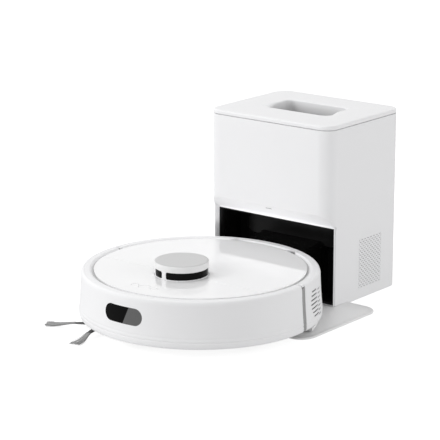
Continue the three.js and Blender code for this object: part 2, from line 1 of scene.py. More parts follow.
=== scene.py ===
# Robot vacuum on its self-emptying dock, dressed for the final look.
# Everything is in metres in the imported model's frame; mm turns the sizes below into metres.
import math
import bmesh
import bpy
import numpy as np
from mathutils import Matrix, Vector


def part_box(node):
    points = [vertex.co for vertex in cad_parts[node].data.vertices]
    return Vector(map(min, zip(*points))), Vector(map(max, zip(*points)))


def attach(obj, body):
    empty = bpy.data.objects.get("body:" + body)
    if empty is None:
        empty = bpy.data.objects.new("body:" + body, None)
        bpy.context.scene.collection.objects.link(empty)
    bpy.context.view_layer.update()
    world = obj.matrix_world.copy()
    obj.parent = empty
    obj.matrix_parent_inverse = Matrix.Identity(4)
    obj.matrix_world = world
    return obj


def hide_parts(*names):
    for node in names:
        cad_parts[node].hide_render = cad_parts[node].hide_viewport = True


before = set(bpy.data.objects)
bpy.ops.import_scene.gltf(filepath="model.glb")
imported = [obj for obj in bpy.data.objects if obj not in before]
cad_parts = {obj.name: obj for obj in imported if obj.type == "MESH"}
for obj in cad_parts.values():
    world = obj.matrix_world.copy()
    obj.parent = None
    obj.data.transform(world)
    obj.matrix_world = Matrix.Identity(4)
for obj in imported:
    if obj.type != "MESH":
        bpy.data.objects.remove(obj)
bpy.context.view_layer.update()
mm = 0.001
robotY = (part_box("chassis")[0][1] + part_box("chassis")[1][1]) / 2 / mm  # the robot's centre line, in mm
print("frame loaded, robot centre at", round(robotY, 2), "mm")

# ---------------------------------------------------------------- camera, light, floor
shot = {"place": (1743.12, -2394.6, 888.76), "turn": 38.55, "tilt": 14.88, "lens": 162.6, "sensor": 36.0}
studio = {
    "skySeen": 1.0, "skyLight": 0.50, "floorHalf": 40.0,
    "floorColour": (0.45, 0.45, 0.45, 1), "floorSeen": 0.84, "floorLight": 0.30,
    "lamps": [
        # name, place, size, watts, aim
        ("keyLeft", (-1.4, -2.4, 1.1), (1.3, 1.5), 34.5, (0.0, -0.2, 0.1)),
        ("rimRight", (2.2, 0.3, 0.6), (1.0, 1.2), 12.5, (0.05, -0.1, 0.1)),
        ("topSoft", (-0.9, -0.3, 2.3), (1.6, 1.6), 18, (0.0, -0.1, 0.1)),
        ("lidBounce", (0.0, -0.0865, 0.092), (0.2, 0.014), 0.03, (0.0, -0.0865, 0.2)),
    ],
}


def aimed(place, target):
    return (Vector(target) - Vector(place)).to_track_quat("-Z", "Y").to_euler()


def makeCamera():
    data = bpy.data.cameras.new("camera")
    data.lens = shot["lens"]
    data.sensor_width = shot["sensor"]
    data.clip_end = 200
    camera = bpy.data.objects.new("camera", data)
    turn, tilt = math.radians(shot["turn"]), math.radians(shot["tilt"])
    back = Vector((math.sin(turn) * math.cos(tilt), -math.cos(turn) * math.cos(tilt), math.sin(tilt)))
    camera.location = Vector(shot["place"]) * mm
    camera.rotation_euler = back.to_track_quat("Z", "Y").to_euler()
    bpy.context.scene.collection.objects.link(camera)
    bpy.context.scene.camera = camera


def makeStudio():
    scene = bpy.context.scene
    scene.view_settings.view_transform = "Standard"
    scene.view_settings.look = "None"
    world = bpy.data.worlds.new("studioWorld")
    world.use_nodes = True
    # Seen directly or in a reflection the sky is white; as a light it is dimmer, so the lamps can model form.
    tree = world.node_tree
    path = tree.nodes.new("ShaderNodeLightPath")
    seen = mathOf(tree, "MAXIMUM", path.outputs["Is Camera Ray"], path.outputs["Is Glossy Ray"])
    gain = studio["skySeen"] - studio["skyLight"]
    strength = mathOf(tree, "MULTIPLY_ADD", seen, gain, studio["skyLight"])
    tree.nodes["Background"].inputs["Color"].default_value = (1, 1, 1, 1)
    tree.links.new(strength, tree.nodes["Background"].inputs["Strength"])
    scene.world = world
    for name, place, size, watts, target in studio["lamps"]:
        data = bpy.data.lights.new(name, "AREA")
        data.shape = "RECTANGLE"
        data.size, data.size_y = size
        data.energy = watts
        lamp = bpy.data.objects.new(name, data)
        lamp.location = place
        lamp.rotation_euler = aimed(place, target)
        lamp.visible_glossy = False
        lamp.visible_camera = False
        scene.collection.objects.link(lamp)
    half = studio["floorHalf"]
    corners = [(-half, -half, 0), (half, -half, 0), (half, half, 0), (-half, half, 0)]
    mesh = bpy.data.meshes.new("floor")
    mesh.from_pydata(corners, [], [(0, 1, 2, 3)])
    material = bpy.data.materials.new("floorPaper")
    material.use_nodes = True
    shader = material.node_tree.nodes["Principled BSDF"]
    shader.inputs["Base Color"].default_value = studio["floorColour"]
    shader.inputs["Roughness"].default_value = 0.9
    shader.inputs["Specular IOR Level"].default_value = 0.0
    shader.inputs["Emission Color"].default_value = (1, 1, 1, 1)
    tree = material.node_tree
    path = tree.nodes.new("ShaderNodeLightPath")
    gain = studio["floorSeen"] - studio["floorLight"]
    glow = mathOf(tree, "MULTIPLY_ADD", path.outputs["Is Camera Ray"], gain, studio["floorLight"])
    tree.links.new(glow, shader.inputs["Emission Strength"])
    mesh.materials.append(material)
    floor = bpy.data.objects.new("floor", mesh)
    scene.collection.objects.link(floor)


# ---------------------------------------------------------------- shader groups


def startGroup(name, inputs, outputs):
    tree = bpy.data.node_groups.new(name, "ShaderNodeTree")
    for label, kind, value in inputs:
        socket = tree.interface.new_socket(label, in_out="INPUT", socket_type=kind)
        socket.default_value = value
    for label, kind in outputs:
        tree.interface.new_socket(label, in_out="OUTPUT", socket_type=kind)
    return tree, tree.nodes.new("NodeGroupInput"), tree.nodes.new("NodeGroupOutput")


def noiseOf(tree, vector, scale, detail=2.0, roughness=0.5):
    noise = tree.nodes.new("ShaderNodeTexNoise")
    noise.inputs["Detail"].default_value = detail
    noise.inputs["Roughness"].default_value = roughness
    tree.links.new(vector, noise.inputs["Vector"])
    if isinstance(scale, (int, float)):
        noise.inputs["Scale"].default_value = scale
    else:
        tree.links.new(scale, noise.inputs["Scale"])
    return noise.outputs["Fac"]


def mathOf(tree, kind, first, second=0.0, third=None):
    node = tree.nodes.new("ShaderNodeMath")
    node.operation = kind
    for socket, value in zip(node.inputs, (first, second) if third is None else (first, second, third)):
        if isinstance(value, (int, float)):
            socket.default_value = value
        else:
            tree.links.new(value, socket)
    return node.outputs[0]


def mixOf(tree, factor, first, second):
    node = tree.nodes.new("ShaderNodeMix")
    node.data_type = "RGBA"
    for socket, value in ((node.inputs[0], factor), (node.inputs[6], first), (node.inputs[7], second)):
        if isinstance(value, (int, float, tuple)):
            socket.default_value = value
        else:
            tree.links.new(value, socket)
    return node.outputs[2]


def makeMouldGrain():
    # Moulded plastic: a fine spark-eroded grain for the bump, and a slow cloud that shifts tint and gloss.
    kinds = [
        ("Grain", "NodeSocketFloat", 1800.0), ("Tint A", "NodeSocketColor", (0.8, 0.8, 0.8, 1)),
        ("Tint B", "NodeSocketColor", (0.78, 0.78, 0.78, 1)), ("Rough Low", "NodeSocketFloat", 0.3),
        ("Rough High", "NodeSocketFloat", 0.4),
    ]
    tree, given, result = startGroup("mouldGrain", kinds, [
        ("Colour", "NodeSocketColor"), ("Roughness", "NodeSocketFloat"), ("Height", "NodeSocketFloat")])
    where = tree.nodes.new("ShaderNodeTexCoord").outputs["Object"]
    fine = noiseOf(tree, where, given.outputs["Grain"], 3.0, 0.6)
    cloud = noiseOf(tree, where, 14.0, 3.0)
    spread = mathOf(tree, "SUBTRACT", given.outputs["Rough High"], given.outputs["Rough Low"])
    blur = mathOf(tree, "ADD", mathOf(tree, "MULTIPLY", cloud, 0.6), mathOf(tree, "MULTIPLY", fine, 0.4))
    rough = mathOf(tree, "MULTIPLY_ADD", spread, blur, given.outputs["Rough Low"])
    tint = mixOf(tree, cloud, given.outputs["Tint A"], given.outputs["Tint B"])
    tree.links.new(tint, result.inputs["Colour"])
    tree.links.new(rough, result.inputs["Roughness"])
    tree.links.new(fine, result.inputs["Height"])
    return tree


def makeThreadWeave():
    # Non-woven or woven cloth: two crossed ripples make the threads, noise frays them.
    kinds = [("Threads", "NodeSocketFloat", 900.0), ("Tint A", "NodeSocketColor", (0.8, 0.8, 0.8, 1)),
             ("Tint B", "NodeSocketColor", (0.6, 0.6, 0.6, 1))]
    tree, given, result = startGroup("threadWeave", kinds, [
        ("Colour", "NodeSocketColor"), ("Height", "NodeSocketFloat")])
    where = tree.nodes.new("ShaderNodeTexCoord").outputs["Object"]
    split = tree.nodes.new("ShaderNodeSeparateXYZ")
    tree.links.new(where, split.inputs[0])
    ripples = []
    for axis in (0, 1, 2):
        angle = mathOf(tree, "MULTIPLY", split.outputs[axis], given.outputs["Threads"])
        ripples.append(mathOf(tree, "SINE", mathOf(tree, "MULTIPLY", angle, 6.2832)))
    crossed = mathOf(tree, "ADD", mathOf(tree, "MULTIPLY", ripples[0], ripples[1]), ripples[2])
    fray = noiseOf(tree, where, 700.0, 4.0, 0.7)
    height = mathOf(tree, "MULTIPLY_ADD", crossed, 0.2, fray)
    tint = mixOf(tree, fray, given.outputs["Tint A"], given.outputs["Tint B"])
    tree.links.new(tint, result.inputs["Colour"])
    tree.links.new(height, result.inputs["Height"])
    return tree


mouldGrain = makeMouldGrain()
threadWeave = makeThreadWeave()


def grey(value, tint=0.0):
    return (value, value, min(1.0, value * (1 + tint)), 1)


def startMaterial(name):
    material = bpy.data.materials.new(name)
    material.use_nodes = True
    tree = material.node_tree
    return material, tree, tree.nodes["Principled BSDF"]


def bumpInto(tree, shader, height, strength, distance):
    bump = tree.nodes.new("ShaderNodeBump")
    bump.inputs["Strength"].default_value = strength
    bump.inputs["Distance"].default_value = distance
    tree.links.new(height, bump.inputs["Height"])
    tree.links.new(bump.outputs["Normal"], shader.inputs["Normal"])


def plastic(name, tintA, tintB, rough, grain=1800.0, bump=0.1, coat=0.0, metal=0.0, specular=0.5, shade=None):
    material, tree, shader = startMaterial(name)
    group = tree.nodes.new("ShaderNodeGroup")
    group.node_tree = mouldGrain
    group.inputs["Grain"].default_value = grain
    group.inputs["Tint A"].default_value = tintA
    group.inputs["Tint B"].default_value = tintB
    group.inputs["Rough Low"].default_value = rough[0]
    group.inputs["Rough High"].default_value = rough[1]
    shader.inputs["Metallic"].default_value = metal
    shader.inputs["Coat Weight"].default_value = coat
    shader.inputs["Coat Roughness"].default_value = 0.03
    shader.inputs["Specular IOR Level"].default_value = specular
    colour = group.outputs["Colour"]
    # the shade colour is mixed in by the hollow attribute: painted shade and painted highlight on some
    # plastics, a two-tone top on the cap
    if shade:
        deep = tree.nodes.new("ShaderNodeAttribute")
        deep.attribute_name = "hollow"
        colour = mixOf(tree, deep.outputs["Fac"], colour, shade)
    tree.links.new(colour, shader.inputs["Base Color"])
    tree.links.new(group.outputs["Roughness"], shader.inputs["Roughness"])
    if bump:
        bumpInto(tree, shader, group.outputs["Height"], bump, 0.0002)
    return material


def cloth(name, tintA, tintB, threads, bump):
    material, tree, shader = startMaterial(name)
    group = tree.nodes.new("ShaderNodeGroup")
    group.node_tree = threadWeave
    group.inputs["Threads"].default_value = threads
    group.inputs["Tint A"].default_value = tintA
    group.inputs["Tint B"].default_value = tintB
    shader.inputs["Roughness"].default_value = 0.95
    shader.inputs["Sheen Weight"].default_value = 0.3
    tree.links.new(group.outputs["Colour"], shader.inputs["Base Color"])
    bumpInto(tree, shader, group.outputs["Height"], bump, 0.0006)
    return material


look = {
    # shellWhite's shade colour is painted shade: it darkens the rear shell's vent slots by their depth.
    "shellWhite": plastic("shellWhite", grey(0.86, 0.01), grey(0.85, 0.012), (0.30, 0.38), 2200, 0.06,
                          shade=grey(0.05)),
    "dockWhite": plastic("dockWhite", grey(0.86, 0.01), grey(0.85, 0.012), (0.34, 0.42), 2000, 0.10),
    "lidGloss": plastic("lidGloss", grey(0.92, 0.006), grey(0.91, 0.006), (0.07, 0.11), 600, 0.0,
                        0.25, 0.0, 0.38),
    # lidWhite's tint is the painted highlight white of the dock lid's front lip; its shade colour is painted
    # shade, deep in the recess and slight on the top.
    "lidWhite": plastic("lidWhite", grey(0.92, 0.01), grey(0.91, 0.012), (0.34, 0.42), 2000, 0.10,
                        shade=grey(0.42)),
    "capGrey": plastic("capGrey", grey(0.82), grey(0.80), (0.30, 0.38), 2400, 0.08, shade=grey(0.56)),
    "liningGrey": plastic("liningGrey", grey(0.36), grey(0.34), (0.55, 0.7), 1500, 0.25),
    "grooveGrey": plastic("grooveGrey", grey(0.55), grey(0.52), (0.45, 0.55), 1500, 0.1),
    "plateGrey": plastic("plateGrey", grey(0.86), grey(0.84), (0.42, 0.5), 1400, 0.25),
    "alcoveBlack": plastic("alcoveBlack", grey(0.006), grey(0.009), (0.16, 0.24), 900, 0.03, 0.0, 0.0, 0.14),
    "glassBlack": plastic("glassBlack", grey(0.003), grey(0.005), (0.03, 0.06), 700, 0.0, 0.0, 0.0, 0.06),
    "mattBlack": plastic("mattBlack", grey(0.028), grey(0.040), (0.5, 0.65), 1500, 0.3),
    "tyreBlack": plastic("tyreBlack", grey(0.022), grey(0.034), (0.7, 0.85), 1100, 0.45),
    "innerGrey": plastic("innerGrey", grey(0.42), grey(0.40), (0.45, 0.6), 1300, 0.25),
    "armGrey": plastic("armGrey", grey(0.10), grey(0.13), (0.55, 0.7), 1500, 0.3),
    "bristleGrey": plastic("bristleGrey", grey(0.34), grey(0.44), (0.45, 0.6), 2600, 0.3),
    "steelGround": plastic("steelGround", grey(0.62), grey(0.52), (0.2, 0.35), 2600, 0.2, 0.0, 1.0),
    "contactBrass": plastic("contactBrass", (0.75, 0.58, 0.28, 1), (0.7, 0.52, 0.24, 1), (0.18, 0.3), 1900,
                            0.1, 0.0, 1.0),
    "boardGreen": plastic("boardGreen", (0.02, 0.13, 0.06, 1), (0.03, 0.17, 0.08, 1), (0.3, 0.5), 300, 0.3),
    "cellBlue": plastic("cellBlue", (0.03, 0.07, 0.16, 1), (0.04, 0.09, 0.19, 1), (0.25, 0.4), 200, 0.3),
    "bagCloth": cloth("bagCloth", (0.72, 0.69, 0.61, 1), (0.60, 0.57, 0.50, 1), 520.0, 0.5),
    "padCloth": cloth("padCloth", grey(0.62, 0.03), grey(0.45, 0.05), 360.0, 0.8),
    "filterCloth": cloth("filterCloth", grey(0.70), grey(0.58), 240.0, 0.6),
}


# Lens colours: near black, and right of a leaning line a grey painted reflection of a softbox.
reflectionSplit = {"lean": 0.42, "x": 0.0075, "z": 0.0558, "sharp": 1600.0,
         "dark": (0.003, 0.005), "paintedReflection": (0.125, 0.135)}


def makeLensLook():
    # One lens with a painted reflection: left of a leaning line it is near black, right of it a grey painted
    # reflection of a softbox.
    material, tree, shader = startMaterial("lensPaintedReflection")
    where = tree.nodes.new("ShaderNodeTexCoord").outputs["Object"]
    split = tree.nodes.new("ShaderNodeSeparateXYZ")
    tree.links.new(where, split.inputs[0])
    lean = mathOf(tree, "MULTIPLY_ADD", split.outputs[2], -reflectionSplit["lean"], split.outputs[0])
    middle = reflectionSplit["sharp"] * (reflectionSplit["lean"] * reflectionSplit["z"] - reflectionSplit["x"])
    side = mathOf(tree, "MULTIPLY_ADD", lean, reflectionSplit["sharp"], middle)
    clamp = tree.nodes.new("ShaderNodeClamp")
    tree.links.new(side, clamp.inputs[0])
    fleck = noiseOf(tree, where, 900.0)
    dark = mixOf(tree, fleck, *map(grey, reflectionSplit["dark"]))
    paintedReflection = mixOf(tree, fleck, *map(grey, reflectionSplit["paintedReflection"]))
    tree.links.new(mixOf(tree, clamp.outputs[0], dark, paintedReflection), shader.inputs["Base Color"])
    rough = mathOf(tree, "MULTIPLY_ADD", fleck, 0.03, 0.04)
    tree.links.new(rough, shader.inputs["Roughness"])
    shader.inputs["Specular IOR Level"].default_value = 0.05
    return material


look["lensPaintedReflection"] = makeLensLook()
makeCamera()
makeStudio()
print("materials ready:", len(look))

# ---------------------------------------------------------------- mesh helpers


def gridFaces(rows, cols, loopRows=False, loopCols=False, first=0):
    # Four-cornered faces between neighbouring rows and columns of a grid numbered row by row.
    index = np.arange(rows * cols).reshape(rows, cols) + first
    if loopRows:
        index = np.vstack([index, index[:1]])
    if loopCols:
        index = np.hstack([index, index[:, :1]])
    return np.stack([index[:-1, :-1], index[:-1, 1:], index[1:, 1:], index[1:, :-1]], -1).reshape(-1, 4)


def ringCaps(rows, cols):
    # The two many-sided faces that close a grid whose rows are closed rings.
    ring = np.arange(cols)
    return [ring[::-1].tolist(), (ring + (rows - 1) * cols).tolist()]


def endCaps(rows, cols):
    # The two faces that close a grid whose columns are closed sections.
    first = np.arange(rows) * cols
    return [first.tolist(), (first[::-1] + cols - 1).tolist()]


def enclosed(points, faces):
    # Signed volume: a sixth of the sum of corner triple products over the fanned faces.
    total = 0.0
    for face in faces:
        ring = points[np.asarray(face)]
        hub = np.broadcast_to(ring[0], ring[1:-1].shape)
        total += np.einsum("ij,ij->", np.cross(ring[1:-1], ring[2:]), hub)
    return total / 6


def quadVolume(points, quads):
    a, b, c, d = (points[quads[:, i]] for i in range(4))
    return (np.einsum("ij,ij->", a, np.cross(b, c)) + np.einsum("ij,ij->", a, np.cross(c, d))) / 6


def addPiece(name, points, quads, material, body, replaced=(), slotName=None, caps=(), sharp=35, merge=True):
    # Points in mm; quads and caps (longer faces) are turned round together if the enclosed volume is negative.
    points = np.asarray(points, float).reshape(-1, 3)
    quads = np.asarray(quads, int).reshape(-1, 4)
    caps = [list(map(int, cap)) for cap in caps]
    volume = quadVolume(points, quads) + (enclosed(points, caps) if caps else 0.0)
    faces = quads.tolist() + caps
    if volume < 0:
        faces = [face[::-1] for face in faces]
    mesh = bpy.data.meshes.new(name)
    mesh.from_pydata((points * mm).tolist(), [], faces)
    if merge:
        soup = bmesh.new()
        soup.from_mesh(mesh)
        bmesh.ops.remove_doubles(soup, verts=soup.verts, dist=2e-6)
        bmesh.ops.dissolve_degenerate(soup, edges=soup.edges, dist=1e-7)
        soup.to_mesh(mesh)
        soup.free()
    mesh.materials.append(look[material])
    mesh.shade_smooth()
    mesh.set_sharp_from_angle(angle=math.radians(sharp))
    piece = bpy.data.objects.new(name, mesh)
    bpy.context.scene.collection.objects.link(piece)
    if body:
        placeOn(piece, body, replaced)
    return piece


def placeOn(piece, body, replaced=()):
    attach(piece, body)
    if replaced:
        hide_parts(*replaced)


def markHollow(piece, values):
    # Point attribute that the plastics read: 0 keeps the tint, 1 gives the shade colour. It carries painted
    # shade in the vent slots and inside the dock lid's recess, the dock lid's painted lip highlight, and the
    # turret cap's grey top tone.
    mask = piece.data.attributes.new("hollow", "FLOAT", "POINT")
    mask.data.foreach_set("value", np.asarray(values, np.float32).ravel())


def addBevel(piece, width, segments=3, limit=40, harden=True):
    bevel = piece.modifiers.new("edgeRound", "BEVEL")
    bevel.width = width * mm
    bevel.segments = segments
    bevel.limit_method = "ANGLE"
    bevel.angle_limit = math.radians(limit)
    bevel.harden_normals = harden
    bevel.use_clamp_overlap = True


def carve(piece, cutters):
    # Exact boolean difference, applied at once, so no cutter stays in the scene.
    for cutter in cutters:
        cut = piece.modifiers.new("cut", "BOOLEAN")
        cut.operation = "DIFFERENCE"
        cut.solver = "EXACT"
        cut.object = cutter
    graph = bpy.context.evaluated_depsgraph_get()
    mesh = bpy.data.meshes.new_from_object(piece.evaluated_get(graph))
    piece.modifiers.clear()
    piece.data = mesh
    for cutter in cutters:
        bpy.data.objects.remove(cutter, do_unlink=True)
    mesh.shade_smooth()
    mesh.set_sharp_from_angle(angle=math.radians(35))


def curveThrough(points, count):
    # Catmull-Rom: each stretch is the cubic whose end slopes are half the gap between its neighbours.
    p = np.asarray(points, float)
    p = np.vstack([2 * p[0] - p[1], p, 2 * p[-1] - p[-2]])
    t = np.linspace(0, len(p) - 3 - 1e-9, count)
    i = t.astype(int)
    f = (t - i)[:, None]
    a, b, c, d = p[i], p[i + 1], p[i + 2], p[i + 3]
    return 0.5 * (2 * b + (c - a) * f + (2 * a - 5 * b + 4 * c - d) * f**2 + (3 * b - 3 * c + d - a) * f**3)


def arcPoints(cx, cy, r, fromDeg, toDeg, count):
    a = np.radians(np.linspace(fromDeg, toDeg, count))
    return np.stack([cx + r * np.cos(a), cy + r * np.sin(a)], 1)


def turnedPoints(profile, angles, centre=(0.0, 0.0)):
    # Surface of revolution: every (radius, height) of the profile at every angle, row by profile point.
    r, z = profile[:, 0][:, None], profile[:, 1][:, None]
    a = angles[None, :]
    return np.stack([centre[0] + r * np.cos(a), centre[1] + r * np.sin(a), z + 0 * a], -1)


def addTurned(name, profile, material, body, centre, steps=96, **more):
    profile = np.asarray(profile, float)
    angles = np.linspace(0, 2 * np.pi, steps, endpoint=False)
    points = turnedPoints(profile, angles, centre)
    return addPiece(name, points, gridFaces(len(profile), steps, True, True), material, body, **more)


def roundedLoop(halfX, halfY, r, corner=12, centre=(0.0, 0.0), extraX=(), extraY=()):
    # Rounded rectangle, anticlockwise from the front edge; extra lines add points on the straight edges.
    ex = np.unique(np.clip(list(extraX) + [0.0], -halfX + r, halfX - r))
    ey = np.unique(np.clip(list(extraY) + [0.0], -halfY + r, halfY - r))
    inner = [(ex, np.full(len(ex), -halfY)), (np.full(len(ey), halfX), ey),
             (ex[::-1], np.full(len(ex), halfY)), (np.full(len(ey), -halfX), ey[::-1])]
    corners = [(halfX - r, -halfY + r, -90), (halfX - r, halfY - r, 0),
               (-halfX + r, halfY - r, 90), (-halfX + r, -halfY + r, 180)]
    parts = []
    for (sx, sy), (cx, cy, start) in zip(inner, corners):
        keep = (np.abs(sx) < halfX - r - 1e-6) | (np.abs(sx) > halfX - 1e-6)
        keep &= (np.abs(sy) < halfY - r - 1e-6) | (np.abs(sy) > halfY - 1e-6)
        parts.append(np.stack([sx, sy], 1)[keep])
        parts.append(arcPoints(cx, cy, r, start, start + 90, corner + 1))
    return np.vstack(parts) + np.array(centre)


def smoothStep(x):
    x = np.clip(x, 0, 1)
    return x * x * (3 - 2 * x)


def robotPoints(points):
    # Shift from the robot's own centre to the frame.
    shifted = np.array(points, float)
    shifted[..., 1] += robotY
    return shifted


def blockMesh(name, x, y, z, material="innerGrey", body=None):
    points = np.array([(a, b, c) for a in x for b in y for c in z], float)
    quads = [(0, 1, 3, 2), (4, 6, 7, 5), (0, 4, 5, 1), (2, 3, 7, 6), (0, 2, 6, 4), (1, 5, 7, 3)]
    return addPiece(name, robotPoints(points), quads, material, body, merge=False)


# ---------------------------------------------------------------- robot side shells
shell = {
    "outer": [(172.6, 16.7), (174.6, 17.0), (176.0, 18.3), (176.7, 20.6), (176.95, 24), (176.8, 29),
              (175.9, 37), (175.1, 46), (174.4, 56), (173.8, 67), (173.3, 79.5)],
    "lips": ((0.6, 26.4, 0.8), (0.3, 31.8, 1.2)),  # grooves above the lower rim: depth, height, half width
    "topR": 169.4, "top": 84.8, "ringLine": (0.3, 167.4, 0.6),  # fine line: depth, radius, half width
    "slitLeft": (2.0, 9.5), "slitRight": (13.0, 21.0),
    "frontLip": 158.4, "rearLip": 155.6,
    "relief": (56.0, 153.7, 6.0, 163.0),  # half width, y of the straight edge, ramp, largest radius
}
vents = {
    "topZ": 68.2, "pitch": 6.1, "rows": 7, "half": 0.95, "depth": 2.2, "soft": 0.30,
    "start": (14.4, 13.7, 13.2, 13.0, 13.6, 14.6, 16.1), "end": (19.9, 20.4, 20.8, 21.2, 21.6, 22.0, 22.5),
    "secondShift": -3.05, "second": (22.9, 27.0),
}
outlet = {"r": 12.0, "z": 60.0, "holeY": (150.0, 190.0), "padX": 36.0, "padY": (160.0, 180.0), "padZ": 43.0,
          "padHalfX": 6.5, "padHalfZ": 4.0}


def outerLine():
    # Skin from the bottom rim to the top ring's inner edge; each fine groove is a bell curve taken off it.
    body = curveThrough(shell["outer"], 90)
    for depth, z0, half in shell["lips"]:
        body[:, 0] -= depth * np.exp(-((body[:, 1] - z0) / half) ** 2)
    shoulder = arcPoints(shell["topR"], 80.9, 3.9, 8, 84, 10)
    shoulder[:, 0] -= 0.55
    flat = np.stack([np.linspace(168.6, 161.4, 22), np.full(22, shell["top"])], 1)
    depth, r0, half = shell["ringLine"]
    flat[:, 1] -= depth * np.exp(-((flat[:, 0] - r0) / half) ** 2)
    return body, np.vstack([shoulder, flat])


def shellLoop(lipR, heights=None):
    # Section of the wall: bottom lip, outer skin, shoulder, inner edge of the top ring, inner skin.
    body, shoulder = outerLine()
    if heights is not None:
        body = np.stack([np.interp(heights, body[:, 1], body[:, 0]), heights], 1)
    ring = np.array([[160.6, 84.72], [160.0, 84.4], [158.2, 82.9], [157.6, 82.4], [157.4, 82.0],
                     [157.4, 81.45]])
    inner = curveThrough([(160.6, 81.7), (168.4, 82.0), (170.6, 76), (171.8, 60), (172.8, 44), (174.0, 30),
                          (173.8, 20.4)], 12)
    start = np.array([[lipR, 19.3], [lipR, 16.7]])
    return np.vstack([start, body, shoulder, ring, inner])


def sweepShell(name, loop, share, edges, body, dents=None, cutters=(), **more):
    # Each loop point runs between two slit edges of constant y, so its end angles are arcsines of y / r.
    (yFrom, left), (yTo, right) = edges
    r = loop[:, 0][:, None]
    angleFrom = np.pi - np.arcsin(yFrom / r) if left else np.arcsin(yFrom / r)
    angleTo = np.pi - np.arcsin(yTo / r) if not right else 2 * np.pi + np.arcsin(yTo / r)
    angle = angleFrom + (angleTo - angleFrom) * share[None, :]
    radius = np.broadcast_to(r, angle.shape).copy()
    z = np.broadcast_to(loop[:, 1][:, None], angle.shape)
    hollow = np.zeros_like(radius)
    if dents is not None:
        radius = hingeRelief(radius, angle, z)
        hollow = dents(np.degrees(angle), z, radius)
        radius -= hollow
    points = np.stack([radius * np.cos(angle), radius * np.sin(angle), z], -1)
    piece = addPiece(name, robotPoints(points), gridFaces(*angle.shape, True), "shellWhite", body,
                     caps=endCaps(*angle.shape), merge=False, **more)
    # painted shade: each vent slot is darkened by its dent depth, darkest at the bottom
    if hollow.any():
        markHollow(piece, hollow / hollow.max())
    if cutters:
        carve(piece, cutters)
    addBevel(piece, 0.7, 3, 55, harden=False)
    return piece


def ventDents(degrees, z, radius):
    # Rounded slots: a point is inside where its distance to the slot's middle line is under the half height.
    skinR = 174.5
    side = np.where(degrees > 90, 180 - degrees, degrees)
    depth = np.zeros_like(z)
    for row in range(vents["rows"]):
        height = vents["topZ"] - row * vents["pitch"]
        spans = [(height, vents["start"][row], vents["end"][row]),
                 (height + vents["secondShift"], *vents["second"])]
        for middle, start, end in spans:
            arc = np.radians(side) * skinR
            low, high = math.radians(start) * skinR, math.radians(end) * skinR
            along = np.maximum(np.maximum(low - arc, arc - high), 0)
            distance = np.hypot(along, z - middle)
            slot = vents["depth"] * smoothStep((vents["half"] - distance) / vents["soft"] + 0.5)
            depth = np.maximum(depth, slot)
    return np.where(radius > skinR - 1.6, depth, 0)


def hingeRelief(radius, angle, z):
    # Behind the cover the ring's inner edge is pushed out to a straight line, with a short ramp at each end.
    halfX, lineY, ramp, largest = shell["relief"]
    x = np.abs(radius * np.cos(angle))
    target = np.minimum(lineY / np.maximum(np.sin(angle), 0.1), largest)
    share = smoothStep((halfX + ramp - x) / ramp) * (z > 80) * (radius < largest + 2)
    return np.where(share > 0, np.maximum(radius, radius + (target - radius) * share), radius)


def rearHoles():
    # A round dust outlet in the middle of the back and a pocket for each charging pad beside it.
    steps = 64
    circle = arcPoints(0, outlet["z"], outlet["r"], 0, 360, steps + 1)[:-1]
    rings = [np.column_stack([circle[:, 0], np.full(steps, y), circle[:, 1]]) for y in outlet["holeY"]]
    holes = [addPiece("cut", robotPoints(np.stack(rings)), gridFaces(2, steps, False, True), "shellWhite",
                      None, caps=ringCaps(2, steps))]
    for side in (-1, 1):
        x, halfX, halfZ = side * outlet["padX"], outlet["padHalfX"], outlet["padHalfZ"]
        holes.append(blockMesh("cut", (x - halfX, x + halfX), outlet["padY"],
                               (outlet["padZ"] - halfZ, outlet["padZ"] + halfZ)))
    return holes


def makeSideShells():
    # The rear shell's grid is finer over the vents, in height and round the body.
    share = np.linspace(0, 1, 181)
    sweepShell("bumperShell", shellLoop(shell["frontLip"]), share,
               ((shell["slitLeft"][0], True), (shell["slitRight"][0], True)), "bumper", replaced=("bumper",),
               slotName="satin_white")
    fineZ = np.unique(np.concatenate([outerLine()[0][:, 1], np.arange(26.0, 71.5, 0.32)]))
    loop = shellLoop(shell["rearLip"], fineZ)
    coarse = [np.arange(7, 13, 2), np.arange(28, 90.1, 2)]
    degrees = np.unique(np.concatenate([np.arange(12.4, 27.8, 0.17), *coarse]))
    span = (degrees - 7) / 166.0
    share = np.unique(np.round(np.concatenate([span, 1 - span]), 9))
    sweepShell("rearShell", loop, share, ((shell["slitRight"][1], False), (shell["slitLeft"][1], False)),
               "robot", dents=ventDents, cutters=rearHoles(), replaced=("rear_body",), slotName="satin_white")


def makeGroove():
    # Support ring seen at the bottom of the gap round the lid; open at the back where the cover's edge dips.
    profile = np.array([(154.9, 80.8), (159.5, 80.8), (159.5, 82.0), (154.9, 82.0)])
    angles = np.radians(np.linspace(112, 428, 160))
    size = (len(profile), len(angles))
    addPiece("grooveRing", robotPoints(turnedPoints(profile, angles)), gridFaces(*size, True), "grooveGrey",
             "robot", slotName="inner_grey", caps=endCaps(*size))


lining = {"inset": 1.4, "thick": 1.8, "slack": 2.65, "low": 18.0, "high": 80.5,
          "bridge": (158.6, 171.2, 84.45, 81.6)}  # bridge: inner and outer radius, top, underside


